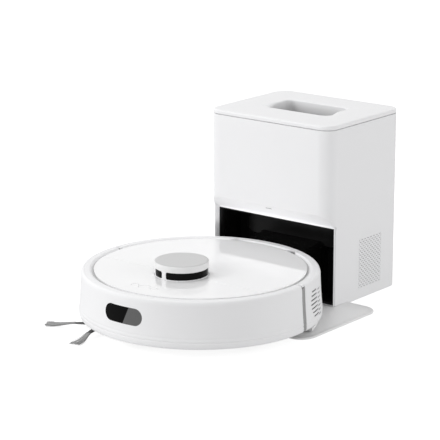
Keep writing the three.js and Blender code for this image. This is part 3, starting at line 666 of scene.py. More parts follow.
def makeLinings():
    # Strips that close the slits just under the skin, and a small white bridge over each slit in the top ring.
    body, _ = outerLine()
    heights = np.linspace(lining["low"], lining["high"], 30)
    skin = np.stack([np.interp(heights, body[:, 1], body[:, 0]) - lining["inset"], heights], 1)
    strip = np.vstack([skin, skin[::-1] - [lining["thick"], 0]])
    r0, r1, z1, z0 = lining["bridge"]
    bridge = np.array([(r0, z0), (r0, z1 - 0.8), (r0 + 1.6, z1), (r1 - 1.2, z1), (r1, z1 - 1.0), (r1, z0)])
    for side, (front, back) in (("left", shell["slitLeft"]), ("right", shell["slitRight"])):
        sign = 1 if side == "right" else -1
        y = np.linspace(front + lining["slack"], back - 0.15, 5)
        for name, loop, finish, more in (
                ("slitStrip", strip, "liningGrey",
                 {"replaced": ("slit_lining_" + side,), "slotName": "mid_grey"}),
                ("slitBridge", bridge, "shellWhite", {"slotName": "satin_white"})):
            x = sign * np.sqrt(loop[:, 0][:, None] ** 2 - y[None, :] ** 2)
            z = np.broadcast_to(loop[:, 1][:, None], x.shape)
            points = np.stack([x, np.broadcast_to(y, x.shape), z], -1)
            addPiece(name + side.title(), robotPoints(points), gridFaces(*x.shape, True), finish, "robot",
                     caps=endCaps(*x.shape), merge=False, **more)


lens = {"x": 1.5, "z": 55.8, "halfX": 33.5, "halfZ": 12.3}


def makeLens():
    # Pill-shaped lens wrapped on the body: rings shrink towards the middle, and the outer rings roll down.
    pill = roundedLoop(lens["halfX"], lens["halfZ"], lens["halfZ"] - 0.01, 24, extraX=np.arange(-18, 19, 3.0))
    inset = np.array([0, 0, 0.12, 0.35, 0.9, 3, 6, 9, 11.6, 12.25])
    lift = np.array([-1.2, 0.0, 0.22, 0.32, 0.35, 0.4, 0.42, 0.44, 0.45, 0.45])
    spine = np.clip(pill, [-lens["halfX"] + lens["halfZ"], 0], [lens["halfX"] - lens["halfZ"], 0])
    away = pill - spine
    flat = np.stack([spine + away * (1 - step / lens["halfZ"]) for step in inset])
    body, _ = outerLine()
    z = lens["z"] + flat[..., 1]
    r = np.interp(z, body[:, 1], body[:, 0]) + lift[:, None]
    angle = -np.pi / 2 + (flat[..., 0] + lens["x"]) / 175.0
    points = np.stack([r * np.cos(angle), r * np.sin(angle), z], -1)
    addPiece("sensorLens", robotPoints(points), gridFaces(*z.shape, False, True), "lensPaintedReflection", "bumper",
             replaced=("sensor_window",), slotName="gloss_black", caps=ringCaps(*z.shape), sharp=60)


makeSideShells()
makeGroove()
makeLinings()
makeLens()
print("side shells, groove and lens built")

# ---------------------------------------------------------------- robot lid, buttons, turret
lid = {"r": 154.4, "top": 84.3, "thick": 2.8, "split": -45.0, "seam": 0.45, "edge": 0.5}
turret = {"y": -43.0, "r": 39.0, "rim": 85.1, "band": 95.5, "top": 105.2,
          "pillars": (-91.4, -131, 60, 147), "pillarHalf": 3.6}
buttons = {"y": -125.0, "pitch": 17.0, "big": 8.0, "small": 5.0}


def discMesh(name, r, z0, z1, steps, material, body=None, centre=(0, 0), **more):
    # Flat round plate: two rings of points and two many-sided faces.
    angles = np.linspace(0, 2 * np.pi, steps, endpoint=False)
    points = turnedPoints(np.array([(r, z0), (r, z1)], float), angles, centre)
    return addPiece(name, robotPoints(points), gridFaces(2, steps, False, True), material, body,
                    caps=ringCaps(2, steps), merge=False, **more)


def makeLids():
    # One round plate for each half, cut along the split, round the turret and round the buttons.
    low = lid["top"] - lid["thick"]
    turretCut = ("cut", turret["r"] + 0.6, 60, 100, 96, "innerGrey")
    front = discMesh("frontDeckPlate", lid["r"], low, lid["top"], 256, "lidGloss")
    holes = [discMesh("cut", (buttons["small"] if i else buttons["big"]) + 0.3, 60, 100, 48, "innerGrey",
                      centre=(i * buttons["pitch"], buttons["y"])) for i in (-1, 0, 1)]
    carve(front, [blockMesh("cut", (-200, 200), (lid["split"] - lid["seam"], 200), (60, 100)),
                  discMesh(*turretCut, centre=(0, turret["y"])), *holes])
    addBevel(front, lid["edge"])
    placeOn(front, "robot", ("front_deck",))
    rear = discMesh("flipCoverPlate", lid["r"], low, lid["top"], 256, "lidGloss")
    carve(rear, [blockMesh("cut", (-200, 200), (-200, lid["split"] + lid["seam"]), (60, 100)),
                 discMesh(*turretCut, centre=(0, turret["y"]))])
    addBevel(rear, lid["edge"])
    placeOn(rear, "flip_cover", ("flip_cover",))
    for side in (-1, 1):
        x = sorted((side * 24, side * 35))
        lug = blockMesh("coverLug" + ("Left" if side < 0 else "Right"), x, (145.2, 151), (75.8, 81.6),
                        "innerGrey", "flip_cover")
        addBevel(lug, 0.6)


def makeButtons():
    # Slightly dished caps: the middle sinks by a cosine, the edge rolls over.
    for i, name in ((-1, "spot_button"), (0, "power_button"), (1, "home_button")):
        r = buttons["small"] if i else buttons["big"]
        across = np.linspace(0.001, 1, 14)
        crown = lid["top"] - 0.05 - 0.22 * np.cos(across * np.pi / 2)
        rim = np.array([(r - 0.05, lid["top"] - 0.35), (r, lid["top"] - 0.8), (r, 79.2), (0.01, 79.2)])
        profile = np.vstack([np.stack([across * (r - 0.35), crown], 1), rim])
        centre = (i * buttons["pitch"], buttons["y"] + robotY)
        addTurned(name.replace("_b", "B") + "Cap", profile, "lidGloss", name, centre, 48, replaced=(name,),
                  slotName="gloss_white")


def makeTurret():
    # Rim, dark band and dished cap are three turned rings on one axis.
    centre = (0.0, turret["y"] + robotY)
    r, rim, band, top = turret["r"], turret["rim"], turret["band"], turret["top"]
    edge = arcPoints(r - 0.7, rim - 0.7, 0.7, 0, 90, 5)
    step = [(r - 2.2, rim), (r - 2.2, rim - 0.6), (r - 4, rim - 0.6)]
    base = np.vstack([[(r - 4, 79), (r, 79)], edge, step])
    addTurned("turretRim", base, "shellWhite", "turret_cover", centre, 128, replaced=("turret_ring",),
              slotName="satin_white")
    glass = np.array([(r - 0.9, rim - 0.3), (r - 0.9, band + 0.5), (r - 3, band + 0.5), (r - 3, rim - 0.3)])
    addTurned("turretGlass", glass, "glassBlack", "turret_cover", centre, 128, replaced=("turret_window",),
              slotName="gloss_black")
    side = arcPoints(r - 1.6, top - 1.6, 1.6, 0, 62, 6)
    dish = arcPoints(r - 3.4, top - 0.9, 0.9, 62, 90, 4)
    bottom = arcPoints(r - 0.7, band + 0.7, 0.7, -90, 0, 5)
    face = np.array([(r - 6, top - 0.02), (r - 9, top - 0.1), (20, top - 0.25), (10, top - 0.3),
                     (0.01, top - 0.3)])
    cap = np.vstack([[(0.01, band)], bottom, side, dish, face])
    disc = addTurned("turretCapShell", cap, "capGrey", "turret_cover", centre, 160, replaced=("turret_cap",),
                     slotName="cap_grey")
    # the cap's top takes the shade, its side keeps the tint
    where = np.zeros(len(disc.data.vertices) * 3)
    disc.data.vertices.foreach_get("co", where)
    markHollow(disc, where[2::3] > (top - 0.45) * mm)
    for n, degrees in enumerate(turret["pillars"]):
        makePillar(n, degrees, centre)


def makePillar(n, degrees, centre):
    # A post whose sides flare into the rims: width grows by a quarter circle near the top and the foot.
    z = np.linspace(turret["rim"] - 0.3, turret["band"] + 0.3, 17)
    fillet = 2.4
    gap = np.clip(np.minimum(z - z[0], z[-1] - z) - 0.3, 0, fillet)
    flare = fillet - np.sqrt(np.maximum(fillet**2 - (fillet - gap) ** 2, 0))
    width = turret["pillarHalf"] + flare
    across = np.linspace(-1, 1, 9)
    angle = math.radians(degrees) + width[:, None] * across[None, :] / turret["r"]
    outer = np.full(angle.shape, turret["r"]) - 0.25 * np.abs(across[None, :]) ** 6
    inner = outer - 1.3
    sheets = [np.stack([centre[0] + rr * np.cos(angle), centre[1] + rr * np.sin(angle),
                        np.broadcast_to(z[:, None], angle.shape)], -1) for rr in (outer, inner)]
    points = np.concatenate([sheets[0], sheets[1][:, ::-1]], 1)
    size = points.shape[:2]
    addPiece("turretPillar%d" % (n + 1), points, gridFaces(*size, False, True), "shellWhite", "turret_cover",
             slotName="satin_white", caps=ringCaps(*size))


makeLids()
makeButtons()
makeTurret()
print("lid, buttons and turret built")

# ---------------------------------------------------------------- brushes, wheels, mop
brush = {"x": -88.0, "y": -114.0, "arms": ((205, 88), (281.5, 82), (9, 80), (69, 80), (140, 80)),
         "hub": 9.0, "root": 42.0, "strands": 44, "strandR": 0.34, "tipHalf": 9.0, "rootHalf": 3.0,
         "zRoot": 7.4, "zTip": 3.4}


def makeArm(n, degrees, reach, seed):
    # Strands share a pinched root and fan out: sideways offset grows as the 1.6th power of the way along.
    rng = np.random.default_rng(seed)
    along = np.linspace(0, 1, 15)
    count = brush["strands"]
    lane = np.linspace(-1, 1, count) + rng.normal(0, 0.03, count)
    spread = brush["rootHalf"] + (brush["tipHalf"] - brush["rootHalf"]) * along**1.6
    length = (reach - brush["root"]) * (1 - 0.05 * np.abs(rng.normal(0, 1, count)).clip(0, 2))
    r = brush["root"] + along[None, :] * length[:, None]
    side = lane[:, None] * spread[None, :] + 1.8 * np.sin(along * np.pi)[None, :]
    height = brush["zRoot"] + (brush["zTip"] - brush["zRoot"]) * smoothStep(along * 1.2)
    layer = (0.4 + 0.9 * along)[None, :] * np.sin(lane * 23)[:, None]
    z = height[None, :] + rng.normal(0, 0.35, (count, 1)) + layer
    turn = math.radians(degrees)
    x = brush["x"] + r * math.cos(turn) - side * math.sin(turn)
    y = brush["y"] + r * math.sin(turn) + side * math.cos(turn)
    middle = np.stack([x, y, z], -1)
    ringAngle = np.radians(np.arange(5) * 72)
    thick = brush["strandR"] * (1.25 - 0.55 * along)
    sideways = np.array([-math.sin(turn), math.cos(turn), 0])
    ring = np.cos(ringAngle)[:, None] * sideways * 1.35 + np.sin(ringAngle)[:, None] * np.array([0, 0, 1])
    points = middle[:, :, None, :] + thick[None, :, None, None] * ring[None, None]
    quads, caps = [], []
    for first in range(0, count * len(along) * 5, len(along) * 5):
        quads.append(gridFaces(len(along), 5, False, True, first))
        caps += [[first + i for i in cap] for cap in ringCaps(len(along), 5)]
    name = "bristleTuft%d" % (n + 1)
    more = {"replaced": ("side_brush_bristles",)} if n == 0 else {}
    addPiece(name, robotPoints(points), np.vstack(quads), "bristleGrey", "side_brush", slotName="bristle_grey",
             caps=caps, sharp=80, merge=False, **more)
    makeHolder(n, turn)


def makeHolder(n, turn):
    # Rubber finger that grips the tuft: an oval section that narrows along its length.
    along = np.linspace(0, 1, 12)
    r = brush["hub"] + along * (brush["root"] + 3 - brush["hub"])
    tip = np.clip(along - 0.85, 0, 1) / 0.15
    halfW = 5.2 - 1.6 * along - 1.4 * tip
    halfZ = 1.9 - 0.5 * along - 0.6 * tip
    z = 9.0 - 1.5 * smoothStep(along)
    ringAngle = np.linspace(0, 2 * np.pi, 16, endpoint=False)
    side = halfW[:, None] * np.cos(ringAngle)[None, :]
    x = brush["x"] + r[:, None] * math.cos(turn) - side * math.sin(turn)
    y = brush["y"] + r[:, None] * math.sin(turn) + side * math.cos(turn)
    points = np.stack([x, y, z[:, None] + halfZ[:, None] * np.sin(ringAngle)[None, :]], -1)
    addPiece("brushFinger%d" % (n + 1), robotPoints(points), gridFaces(12, 16, False, True), "armGrey",
             "side_brush", slotName="soft_black", caps=ringCaps(12, 16), sharp=60)


wheel = {"r": 30.0, "x": 117.0, "y": -6.0, "z": 30.0, "half": 9.0, "core": 24.0, "lugs": 26, "lugDepth": 1.5}


def makeTyre(side):
    # Chevron tread: the radius drops where a ripple along the angle, sheared away from the middle, is low.
    steps = wheel["lugs"] * 10
    angle = np.linspace(0, 2 * np.pi, steps, endpoint=False)
    across = np.concatenate([[-1, -1, -0.94], np.linspace(-0.86, 0.86, 15), [0.94, 1, 1]])
    base = np.full(len(across), wheel["r"]) - 1.1 * np.abs(across) ** 6
    base[[0, -1]] = wheel["core"] + 0.3
    ripple = np.sin(wheel["lugs"] * angle[:, None] + 5.0 * np.abs(across)[None, :])
    lug = smoothStep(0.5 + 2.2 * ripple) * (np.abs(across) < 0.9)[None, :] + (np.abs(across) >= 0.9)[None, :]
    r = base[None, :] - wheel["lugDepth"] * (1 - lug)
    x = side * wheel["x"] + across[None, :] * wheel["half"] + 0 * r
    y, z = wheel["y"] + r * np.cos(angle)[:, None], wheel["z"] + r * np.sin(angle)[:, None]
    points = np.stack([x, y, z], -1)
    end = "left" if side < 0 else "right"
    addPiece("treadTyre" + end.title(), robotPoints(points), gridFaces(*r.shape, True, True), "tyreBlack",
             "wheel_" + end, replaced=("tyre_" + end,), slotName="tyre_black", sharp=50)


roller = {"y": -50.0, "z": 25.5, "half": 80.0, "core": 10.5, "fin": 15.8, "rows": 6, "twist": 1.4}


def makeRoller():
    # Helical fins: radius rises in narrow crests at six angles that turn with the way along the roller.
    along = np.linspace(-1, 1, 61)
    angle = np.linspace(0, 2 * np.pi, 216, endpoint=False)
    phase = angle[None, :] * roller["rows"] + roller["twist"] * roller["rows"] * np.abs(along)[:, None]
    crest = np.clip(np.cos(phase), 0, 1) ** 14
    r = roller["core"] + (roller["fin"] - roller["core"]) * crest
    x = along[:, None] * roller["half"] + 0 * r
    points = np.stack([x, roller["y"] + r * np.cos(angle), roller["z"] + r * np.sin(angle)], -1)
    addPiece("finRoller", robotPoints(points), gridFaces(*r.shape, False, True), "mattBlack", "main_brush",
             replaced=("main_brush",), slotName="soft_black", caps=ringCaps(*r.shape))


mop = {"bracketR": 171.4, "bracketY": 50.0, "bracketZ": (7.0, 11.7), "padR": 168.0, "padY": 54.0,
       "padZ": (3.7, 6.7)}


def crescentLoop(r, y, inset, steps=90):
    # Circular segment: the arc above a straight front edge, drawn in by the inset.
    rr, yy = r - inset, y + inset
    start = math.degrees(math.asin(yy / rr))
    arc = arcPoints(0, 0, rr, start, 180 - start, steps)
    chord = np.stack([np.linspace(arc[-1, 0], arc[0, 0], 40)[1:-1], np.full(38, yy)], 1)
    return np.vstack([arc, chord])


def stackLoops(loops, heights):
    # Flat loops with the same number of points, each at its own height, as the rows of one grid.
    return np.stack([np.column_stack([loop, np.full(len(loop), z)]) for loop, z in zip(loops, heights)])


def makeMop():
    low, high = mop["bracketZ"]
    insets, heights = [1.4, 0.4, 0, 0, 0.4, 1.4], [low, low + 0.4, low + 1.2, high - 1.2, high - 0.4, high]
    rows = stackLoops([crescentLoop(mop["bracketR"], mop["bracketY"], i) for i in insets], heights)
    size = rows.shape[:2]
    addPiece("mopPlate", robotPoints(rows), gridFaces(*size, False, True), "plateGrey", "robot",
             replaced=("mop_bracket",), slotName="plate_grey", caps=ringCaps(*size))
    # The pad: rings shrink to its middle line, and noise makes the pile on its underside and edge.
    low, high = mop["padZ"]
    insets = np.array([4, 1.2, 0.5, 0.1, 0.0, 0.1, 0.6, 2, 4, 8, 14, 22, 30, 38, 46, 52.0])
    edge = [high, high, high - 0.3, high - 0.9, (low + high) / 2, low + 0.9, low + 0.35]
    heights = np.array(edge + [low] * 9)
    rows = stackLoops([crescentLoop(mop["padR"] - 0.6, mop["padY"] + 0.6, i) for i in insets], heights)
    rng = np.random.default_rng(7)
    fuzz = rng.normal(0, 0.16, rows.shape[:2])
    rows[..., 2] += np.where(rows[..., 2] < high - 0.2, np.abs(fuzz) * 0.9, 0)
    size = rows.shape[:2]
    pad = addPiece("mopClothPad", robotPoints(rows), gridFaces(*size, False, True), "padCloth", "robot",
                   replaced=("mop_pad",), slotName="paper", caps=ringCaps(*size), sharp=80)


for n, (degrees, reach) in enumerate(brush["arms"]):
    makeArm(n, degrees, reach, 40 + n)
for side in (-1, 1):
    makeTyre(side)
makeRoller()
makeMop()
print("brushes, wheels and mop built")

# ---------------------------------------------------------------- dock
dock = {
    "halfX": 113.4, "halfY": 94.5, "corner": 22.0, "seam": 271.8, "wall": 2.6, "foot": 0.2,
    "lidLow": 272.25, "top": 279.1,
    "sillTop": 144.0, "sillLow": 123.8, "alcoveY": -72.2, "mouthX": 108.6, "mouthZ": 121.2,
    "grille": (-14.0, 45.0, 16.5, 93.5), "sillBend": (-84.0, 132.9), "cheek": 6.2,
}


def frontLine(z):
    # The sill: a quadratic curve from the alcove plane up and forward to the front face.
    t = np.linspace(0, 1, 60)
    bendY, bendZ = dock["sillBend"]
    y = (1 - t) ** 2 * dock["alcoveY"] + 2 * t * (1 - t) * bendY + t**2 * -dock["halfY"]
    h = (1 - t) ** 2 * dock["sillLow"] + 2 * t * (1 - t) * bendZ + t**2 * dock["sillTop"]
    return np.where(z >= dock["sillTop"], -dock["halfY"], np.interp(z, h, y))


def makeDockShell():
    # Rounded rectangle carried up; below the sill each point is held behind the front line.
    y0, y1, z0, z1 = dock["grille"]
    loop = roundedLoop(dock["halfX"], dock["halfY"], dock["corner"], 18, extraX=(-60, -30, 30, 60),
                       extraY=(-50, y0 + 0.6, y1 - 0.6, 60))
    # columns that meet the mouth's sides exactly
    corner = dock["corner"]
    turn = math.acos((dock["mouthX"] - dock["halfX"] + corner) / corner)
    mouthY = -dock["halfY"] + corner * (1 - math.sin(turn))
    loop = np.vstack([loop, [(-dock["mouthX"], mouthY), (dock["mouthX"], mouthY)]])
    centre = np.arctan2(loop[:, 1] / dock["halfY"], loop[:, 0] / dock["halfX"])
    loop = loop[np.argsort(centre)]
    t = np.linspace(0, 1, 13)
    sill = (1 - t) ** 2 * dock["sillLow"] + 2 * t * (1 - t) * dock["sillBend"][1] + t**2 * dock["sillTop"]
    heights = np.unique(np.concatenate([[dock["foot"], 3.4, z0 + 0.6, 60, z1 - 0.6, dock["mouthZ"]], sill,
                                        [150, 175, 210, 240, 262, dock["seam"]]]))
    x = np.broadcast_to(loop[:, 0], (len(heights), len(loop)))
    # beside the mouth the wall's front edge slants forward, less and less up the sill
    rise = np.clip((heights - dock["sillLow"]) / (dock["sillTop"] - dock["sillLow"]), 0, 1)[:, None]
    slant = dock["cheek"] * np.clip((np.abs(x) - dock["mouthX"]) / 3.9, 0, 1) * (1 - rise)
    y = np.maximum(np.broadcast_to(loop[:, 1], x.shape), frontLine(heights)[:, None] - slant)
    z = np.broadcast_to(heights[:, None], x.shape)
    points = np.stack([x, y, z], -1)
    quads = gridFaces(len(heights), len(loop), False, True)
    middle = points.reshape(-1, 3)[quads].mean(1)
    mouth = (middle[:, 1] < dock["alcoveY"] + 0.5) & (np.abs(middle[:, 0]) < dock["mouthX"] - 0.01)
    mouth &= middle[:, 2] < dock["mouthZ"]
    vent = (middle[:, 0] > dock["halfX"] - 0.5) & (middle[:, 1] > y0) & (middle[:, 1] < y1)
    vent &= (middle[:, 2] > z0) & (middle[:, 2] < z1)
    plateRoom = (middle[:, 2] < 3.4) & (middle[:, 1] < -40)
    piece = addPiece("dockShellWall", points, quads[~(mouth | vent | plateRoom)], "dockWhite", None)
    wall = piece.modifiers.new("wall", "SOLIDIFY")
    wall.thickness = dock["wall"] * mm
    wall.offset = -1
    wall.use_even_offset = True
    addBevel(piece, 0.7, 3, 60, harden=False)
    placeOn(piece, "dock", ("dock_shell",))


grille = {"columns": 15, "rows": 23, "hole": 0.95, "proud": 0.06, "thick": 1.2}


def makeGrille():
    # Staggered round holes: each cell is a rectangle with an eight-sided hole, front sheet and hole wall.
    y0, y1, z0, z1 = dock["grille"]
    stepY, stepZ = (y1 - y0) / grille["columns"], (z1 - z0) / grille["rows"]
    square = np.array([(1, 1), (-1, 1), (-1, -1), (1, -1)]) * 0.5
    cells = [(i, j) for i in range(grille["columns"]) for j in range(grille["rows"])]
    shiftY = np.array([y0 + (i + 0.5) * stepY for i, j in cells])
    shiftZ = np.array([z0 + (j + 0.5) * stepZ for i, j in cells])
    slant = np.array([0.22 * stepY * (1 if (i + j) % 2 else -1) for i, j in cells])
    holeRing = arcPoints(0, 0, grille["hole"], 22.5, 337.5, 8)
    corner = square * np.array([stepY, stepZ])
    face = dock["halfX"] + grille["proud"]
    perCell = 4 + 8 + 8  # corners, front hole ring, back hole ring
    points = np.zeros((len(cells), perCell, 3))
    points[:, :4, 1] = shiftY[:, None] + corner[:, 0]
    points[:, :4, 2] = shiftZ[:, None] + corner[:, 1]
    for start in (4, 12):
        points[:, start:start + 8, 1] = shiftY[:, None] + slant[:, None] + holeRing[:, 0]
        points[:, start:start + 8, 2] = shiftZ[:, None] + holeRing[:, 1]
    points[:, :12, 0] = face
    points[:, 12:, 0] = face - grille["thick"]
    local = [(0, 1, 6, 5), (1, 2, 8, 7), (2, 3, 10, 9), (3, 0, 4, 11)]
    local += [(4 + k, 4 + (k + 1) % 8, 12 + (k + 1) % 8, 12 + k) for k in range(8)]
    quads = (np.arange(len(cells))[:, None, None] * perCell + np.array(local)[None]).reshape(-1, 4)
    corners = [(1, 7, 6), (2, 9, 8), (3, 11, 10), (0, 5, 4)]
    caps = [[n * perCell + v for v in tri] for n in range(len(cells)) for tri in corners]
    mesh = bpy.data.meshes.new("grillePanel")
    mesh.from_pydata((points.reshape(-1, 3) * mm).tolist(), [], quads.tolist() + caps)
    soup = bmesh.new()
    soup.from_mesh(mesh)
    bmesh.ops.remove_doubles(soup, verts=soup.verts, dist=2e-6)
    for one in soup.faces:
        one.normal_update()
        if one.normal.x < -0.5:
            one.normal_flip()
    soup.to_mesh(mesh)
    soup.free()
    mesh.materials.append(look["dockWhite"])
    piece = bpy.data.objects.new("grillePanel", mesh)
    bpy.context.scene.collection.objects.link(piece)
    placeOn(piece, "dock", ("exhaust_grille",))


plate = {
    "halfX": 172.5, "front": -231.0, "rear": -41.0, "corner": 26.0,
    "edge": ((1.2, 0.0), (0.3, 0.35), (0.0, 1.1), (0.1, 1.9), (0.5, 2.6), (1.3, 3.0), (6, 3.0), (6.6, 2.75),
             (7.4, 2.75), (8, 3.0)),  # inset and height of each line round the plate
}


def makePlate():
    # Thin plate with a rolled edge and a shallow groove that runs round inside it.
    middleY = (plate["front"] + plate["rear"]) / 2
    halfY = (plate["rear"] - plate["front"]) / 2
    loops = [roundedLoop(plate["halfX"] - inset, halfY - inset, plate["corner"] - inset, 14, (0, middleY))
             for inset, _ in plate["edge"]]
    points = stackLoops(loops, [z for _, z in plate["edge"]])
    size = points.shape[:2]
    addPiece("plateSlab", points, gridFaces(*size, False, True), "plateGrey", "dock", replaced=("base_plate",),
             slotName="plate_grey", caps=ringCaps(*size))


# topShade: the slight painted shade on the dock lid's top, which leaves the front lip as a painted highlight.
handle = {"halfX": 56.5, "front": -31.0, "rear": 38.0, "corner": 12.0, "depth": 28.0, "lip": 2.2,
          "scoopOut": 21.0, "scoopDown": 8.0, "overhang": 13.0, "topShade": 0.10, "clear": 2.0}


def lidOutline(inset):
    return roundedLoop(dock["halfX"] - inset, dock["halfY"] - inset, dock["corner"] - inset, 18)


def recessOutline(inset):
    middleY, halfY = (handle["front"] + handle["rear"]) / 2, (handle["rear"] - handle["front"]) / 2
    corner = max(handle["corner"] - inset, 1.0)
    return roundedLoop(handle["halfX"] - inset, halfY - inset, corner, 18, (0, middleY))


def makeDockLid():
    # One skin: underside, rounded edge, top, then the recess; the lip's reach grows towards the front.
    top, low = dock["top"], dock["lidLow"]
    floorZ, inmost = top - handle["depth"], handle["halfX"] * 0.55
    stack = [(recessOutline(inmost), floorZ - 2), (recessOutline(-1.5), floorZ - 2),
             (recessOutline(-handle["clear"]), floorZ - 1), (recessOutline(-handle["clear"]), low),
             (lidOutline(1.6), low)]
    stack += [(lidOutline(inset), z) for inset, z in arcPoints(1.6, low + 1.6, 1.6, 270, 180, 5)[1:]]
    stack += [(lidOutline(inset), z) for inset, z in arcPoints(2.4, top - 2.4, 2.4, 180, 90, 8)]
    stack.append((lidOutline(5), top))
    lipRow = len(stack)
    loop = recessOutline(0)
    middleY, halfY = (handle["front"] + handle["rear"]) / 2, (handle["rear"] - handle["front"]) / 2
    front = smoothStep((middleY - loop[:, 1]) / halfY - 0.1)
    # elliptic lip: how far it reaches out and how deep it drops both grow towards the front
    extent = handle["lip"] + (handle["scoopOut"] - handle["lip"]) * front
    drop = handle["lip"] + (handle["scoopDown"] - handle["lip"]) * front
    inner = np.clip(loop, [-handle["halfX"] + handle["corner"], handle["front"] + handle["corner"]],
                    [handle["halfX"] - handle["corner"], handle["rear"] - handle["corner"]])
    outward = (loop - inner) / np.linalg.norm(loop - inner, axis=1)[:, None]
    # the front lip also hangs over the recess, with room for fingers behind and under it
    nose = loop + np.column_stack([np.zeros(len(loop)), handle["overhang"] * front])
    for angle in np.radians(np.linspace(0, 90, 12)):
        away = outward * (extent * (1 - math.sin(angle)))[:, None]
        stack.append((nose + away, top - drop * (1 - math.cos(angle))))
    noseRow = len(stack)
    stack += [(nose - (nose - loop) * 0.1, top - drop - 1), (loop, top - drop - 2.5), (loop, floorZ + 4),
              (recessOutline(1.2), floorZ + 1.2), (recessOutline(4), floorZ), (recessOutline(inmost), floorZ)]
    points = np.stack([np.column_stack([line, np.broadcast_to(z, len(line))]) for line, z in stack])
    size = points.shape[:2]
    piece = addPiece("dockLidShell", points, gridFaces(*size, False, True), "lidWhite", None,
                     caps=ringCaps(*size), sharp=50, merge=False)
    # painted shade: darker with depth inside the recess; painted highlight: palest on the rolled front lip,
    # with a slight painted shade (topShade) over the rest of the top
    row = np.arange(len(stack))[:, None]
    deep = smoothStep((top - 6 - points[..., 2]) / 16) * (row >= lipRow)
    paintedLipHighlight = front * smoothStep((row - lipRow) / 4) * (row <= noseRow)
    markHollow(piece, np.maximum(deep, handle["topShade"] * (1 - paintedLipHighlight)))
    placeOn(piece, "dock_lid", ("dock_lid",))


alcove = {"halfX": 108.3, "front": -71.9, "back": -20.4, "low": 3.9, "high": 120.9,
          "blockX": 62.0, "blockZ": 84.0, "blockY": -74.2,
          "panel": (-90.0, 96.0, 72.0, 112.0, 14.0), "panelRise": 9.0,  # panel: x and z ranges, corner radius
          "portZ": 60.0, "portR": 14.5, "sealR": 20.5, "sealY": -68.0, "wall": 1.6}


def panelField(x, z, x0, x1, z0, z1, r, soft):
    # 1 inside a rounded rectangle, 0 outside, with a smooth ramp of the given width at its edge.
    cx, cz = (x0 + x1) / 2, (z0 + z1) / 2
    dx = np.maximum(np.abs(x - cx) - (x1 - x0) / 2 + r, 0)
    dz = np.maximum(np.abs(z - cz) - (z1 - z0) / 2 + r, 0)
    return smoothStep((r - np.hypot(dx, dz)) / soft)


def makeAlcove():
    # Back wall as a depth map over x and z, with side, floor and roof walls running forward from its edge.
    gx, gz = np.meshgrid(np.linspace(-alcove["halfX"], alcove["halfX"], 150),
                         np.linspace(alcove["low"], alcove["high"], 90))
    depth = np.full(gx.shape, alcove["back"])
    depth -= alcove["panelRise"] * panelField(gx, gz, *alcove["panel"], 6.0)
    block = panelField(gx, gz, -alcove["blockX"], alcove["blockX"], -40, alcove["blockZ"], 10, 5.0)
    depth = depth + (alcove["blockY"] - depth) * block
    port = np.hypot(gx, gz - alcove["portZ"])
    depth = np.where(port < alcove["sealR"], np.maximum(depth, alcove["sealY"]), depth)
    depth = np.where(port < alcove["portR"], alcove["back"] + 2, depth)
    back = np.stack([gx, depth, gz], -1)
    rows, cols = gx.shape
    index = np.arange(rows * cols).reshape(rows, cols)
    edge = np.concatenate([index[0], index[1:, -1], index[-1, -2::-1], index[-2:0:-1, 0]])
    points = [back.reshape(-1, 3)]
    faces = [gridFaces(rows, cols)]
    last = edge
    for n, y in enumerate((-30.0, -45.0, -60.0, alcove["front"])):
        moved = back.reshape(-1, 3)[edge]
        moved[:, 1] = y
        points.append(moved)
        now = np.arange(len(edge)) + rows * cols + n * len(edge)
        faces.append(np.stack([last, np.roll(last, -1), np.roll(now, -1), now], -1))
        last = now
    piece = addPiece("alcoveTray", np.vstack(points), np.vstack(faces), "alcoveBlack", None, merge=False,
                     sharp=30)
    flipTowards(piece, Vector((0, -1, 0)), Vector((0, -0.03, 0.1)))
    wall = piece.modifiers.new("wall", "SOLIDIFY")
    wall.thickness = alcove["wall"] * mm
    wall.offset = -1
    placeOn(piece, "dock", ("alcove_liner",))


def flipTowards(piece, direction, near):
    # Turn the whole sheet so that the face nearest to a point looks along the given direction.
    polygons = piece.data.polygons
    nearest = min(polygons, key=lambda face: (face.center - near).length)
    if nearest.normal.dot(direction) < 0:
        piece.data.flip_normals()


led = {"z": 139.2, "half": 5.6, "tall": 0.75}


def makeLed():
    # Small pill lens lying on the sill's upper end.
    loop = roundedLoop(led["half"], led["tall"], led["tall"] - 0.02, 8)
    y = frontLine(led["z"] + loop[:, 1])
    rows = [np.column_stack([loop[:, 0] * s, y + d, led["z"] + loop[:, 1] * s])
            for s, d in ((1, 1.5), (1, -0.05), (0.9, -0.16), (0.6, -0.2))]
    points = np.stack(rows)
    size = points.shape[:2]
    addPiece("statusLens", points, gridFaces(*size, False, True), "liningGrey", "dock", replaced=("led_lens",),
             slotName="gloss_white", caps=ringCaps(*size))


bag = {"halfX": 94.0, "halfY": 75.0, "low": 134.6, "high": 234.0, "centreY": 1.0, "square": 0.42,
       "roomX": (-95.5, 95.5), "roomY": (-75.5, 77.5)}


def signedPower(t, power):
    return np.sign(t) * np.abs(t) ** power


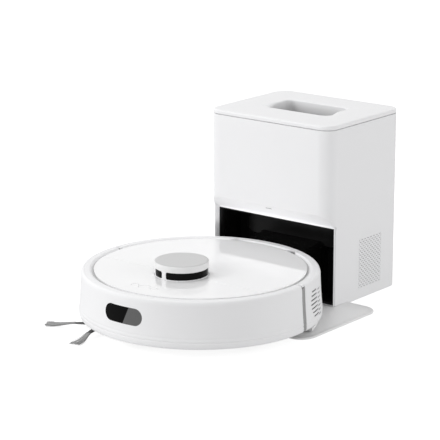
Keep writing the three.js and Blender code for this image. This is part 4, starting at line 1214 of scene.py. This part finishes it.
def makeBag():
    # Pillow: a superellipse in plan, its height a root of the distance to the seam, creased by ripples.
    u = np.linspace(0, 2 * np.pi, 180, endpoint=False)
    v = np.linspace(-np.pi / 2, np.pi / 2, 64)
    gu, gv = np.meshgrid(u, v)
    flat = signedPower(np.cos(gv), 0.55)
    crease = 1 + 0.018 * np.sin(9 * gu + 1.3) * np.cos(gv) + 0.012 * np.sin(23 * gu) * np.cos(gv) ** 2
    x = bag["halfX"] * flat * signedPower(np.cos(gu), bag["square"]) * crease
    y = bag["centreY"] + bag["halfY"] * flat * signedPower(np.sin(gu), bag["square"]) * crease
    middle, half = (bag["low"] + bag["high"]) / 2, (bag["high"] - bag["low"]) / 2
    z = middle + half * signedPower(np.sin(gv), 0.6) * (1 - 0.05 * np.cos(2 * gu) * np.cos(gv))
    z = np.clip(z + 1.6 * np.sin(x / 13.0) * np.cos(y / 17.0) * (np.sin(gv) > 0.2), bag["low"], bag["high"])
    x, y = np.clip(x, *bag["roomX"]), np.clip(y, *bag["roomY"])
    piece = addPiece("dustBagPillow", np.stack([x, y, z], -1), gridFaces(*z.shape, False, True), "bagCloth",
                     "dock", replaced=("dust_bag",), slotName="paper", sharp=80)


makeDockShell()
makeGrille()
makePlate()
makeDockLid()
makeAlcove()
makeLed()
makeBag()
print("dock built")

# ---------------------------------------------------------------- finishes on the carried-over parts
finishes = {
    "innerGrey": ("chassis", "upper_frame", "wheel_hub_left", "wheel_hub_right", "caster_fork",
                  "brush_guard", "dustbin", "suction_impeller", "dock_base", "air_duct",
                  "dock_impeller"),
    "steelGround": ("cover_hinge_pin", "lid_pin"),
    "contactBrass": ("charge_pad_left", "charge_pad_right", "contact_left", "contact_right"),
    "mattBlack": ("lidar_rotor", "wheel_arm_left", "wheel_arm_right", "caster_wheel", "side_brush_hub",
                  "side_brush_motor", "fan_housing", "camera_module", "inlet_seal", "dock_motor",
                  "mains_inlet"),
    "filterCloth": ("dust_filter", "bag_collar", "exhaust_filter"),
    "cellBlue": ("battery",),
    "boardGreen": ("main_board",),
    "liningGrey": ("lid_seal",),
}
for finish, nodes in finishes.items():
    for node in nodes:
        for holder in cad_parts[node].material_slots:
            holder.material = look[finish]
print("carried-over parts painted:", sum(map(len, finishes.values())))
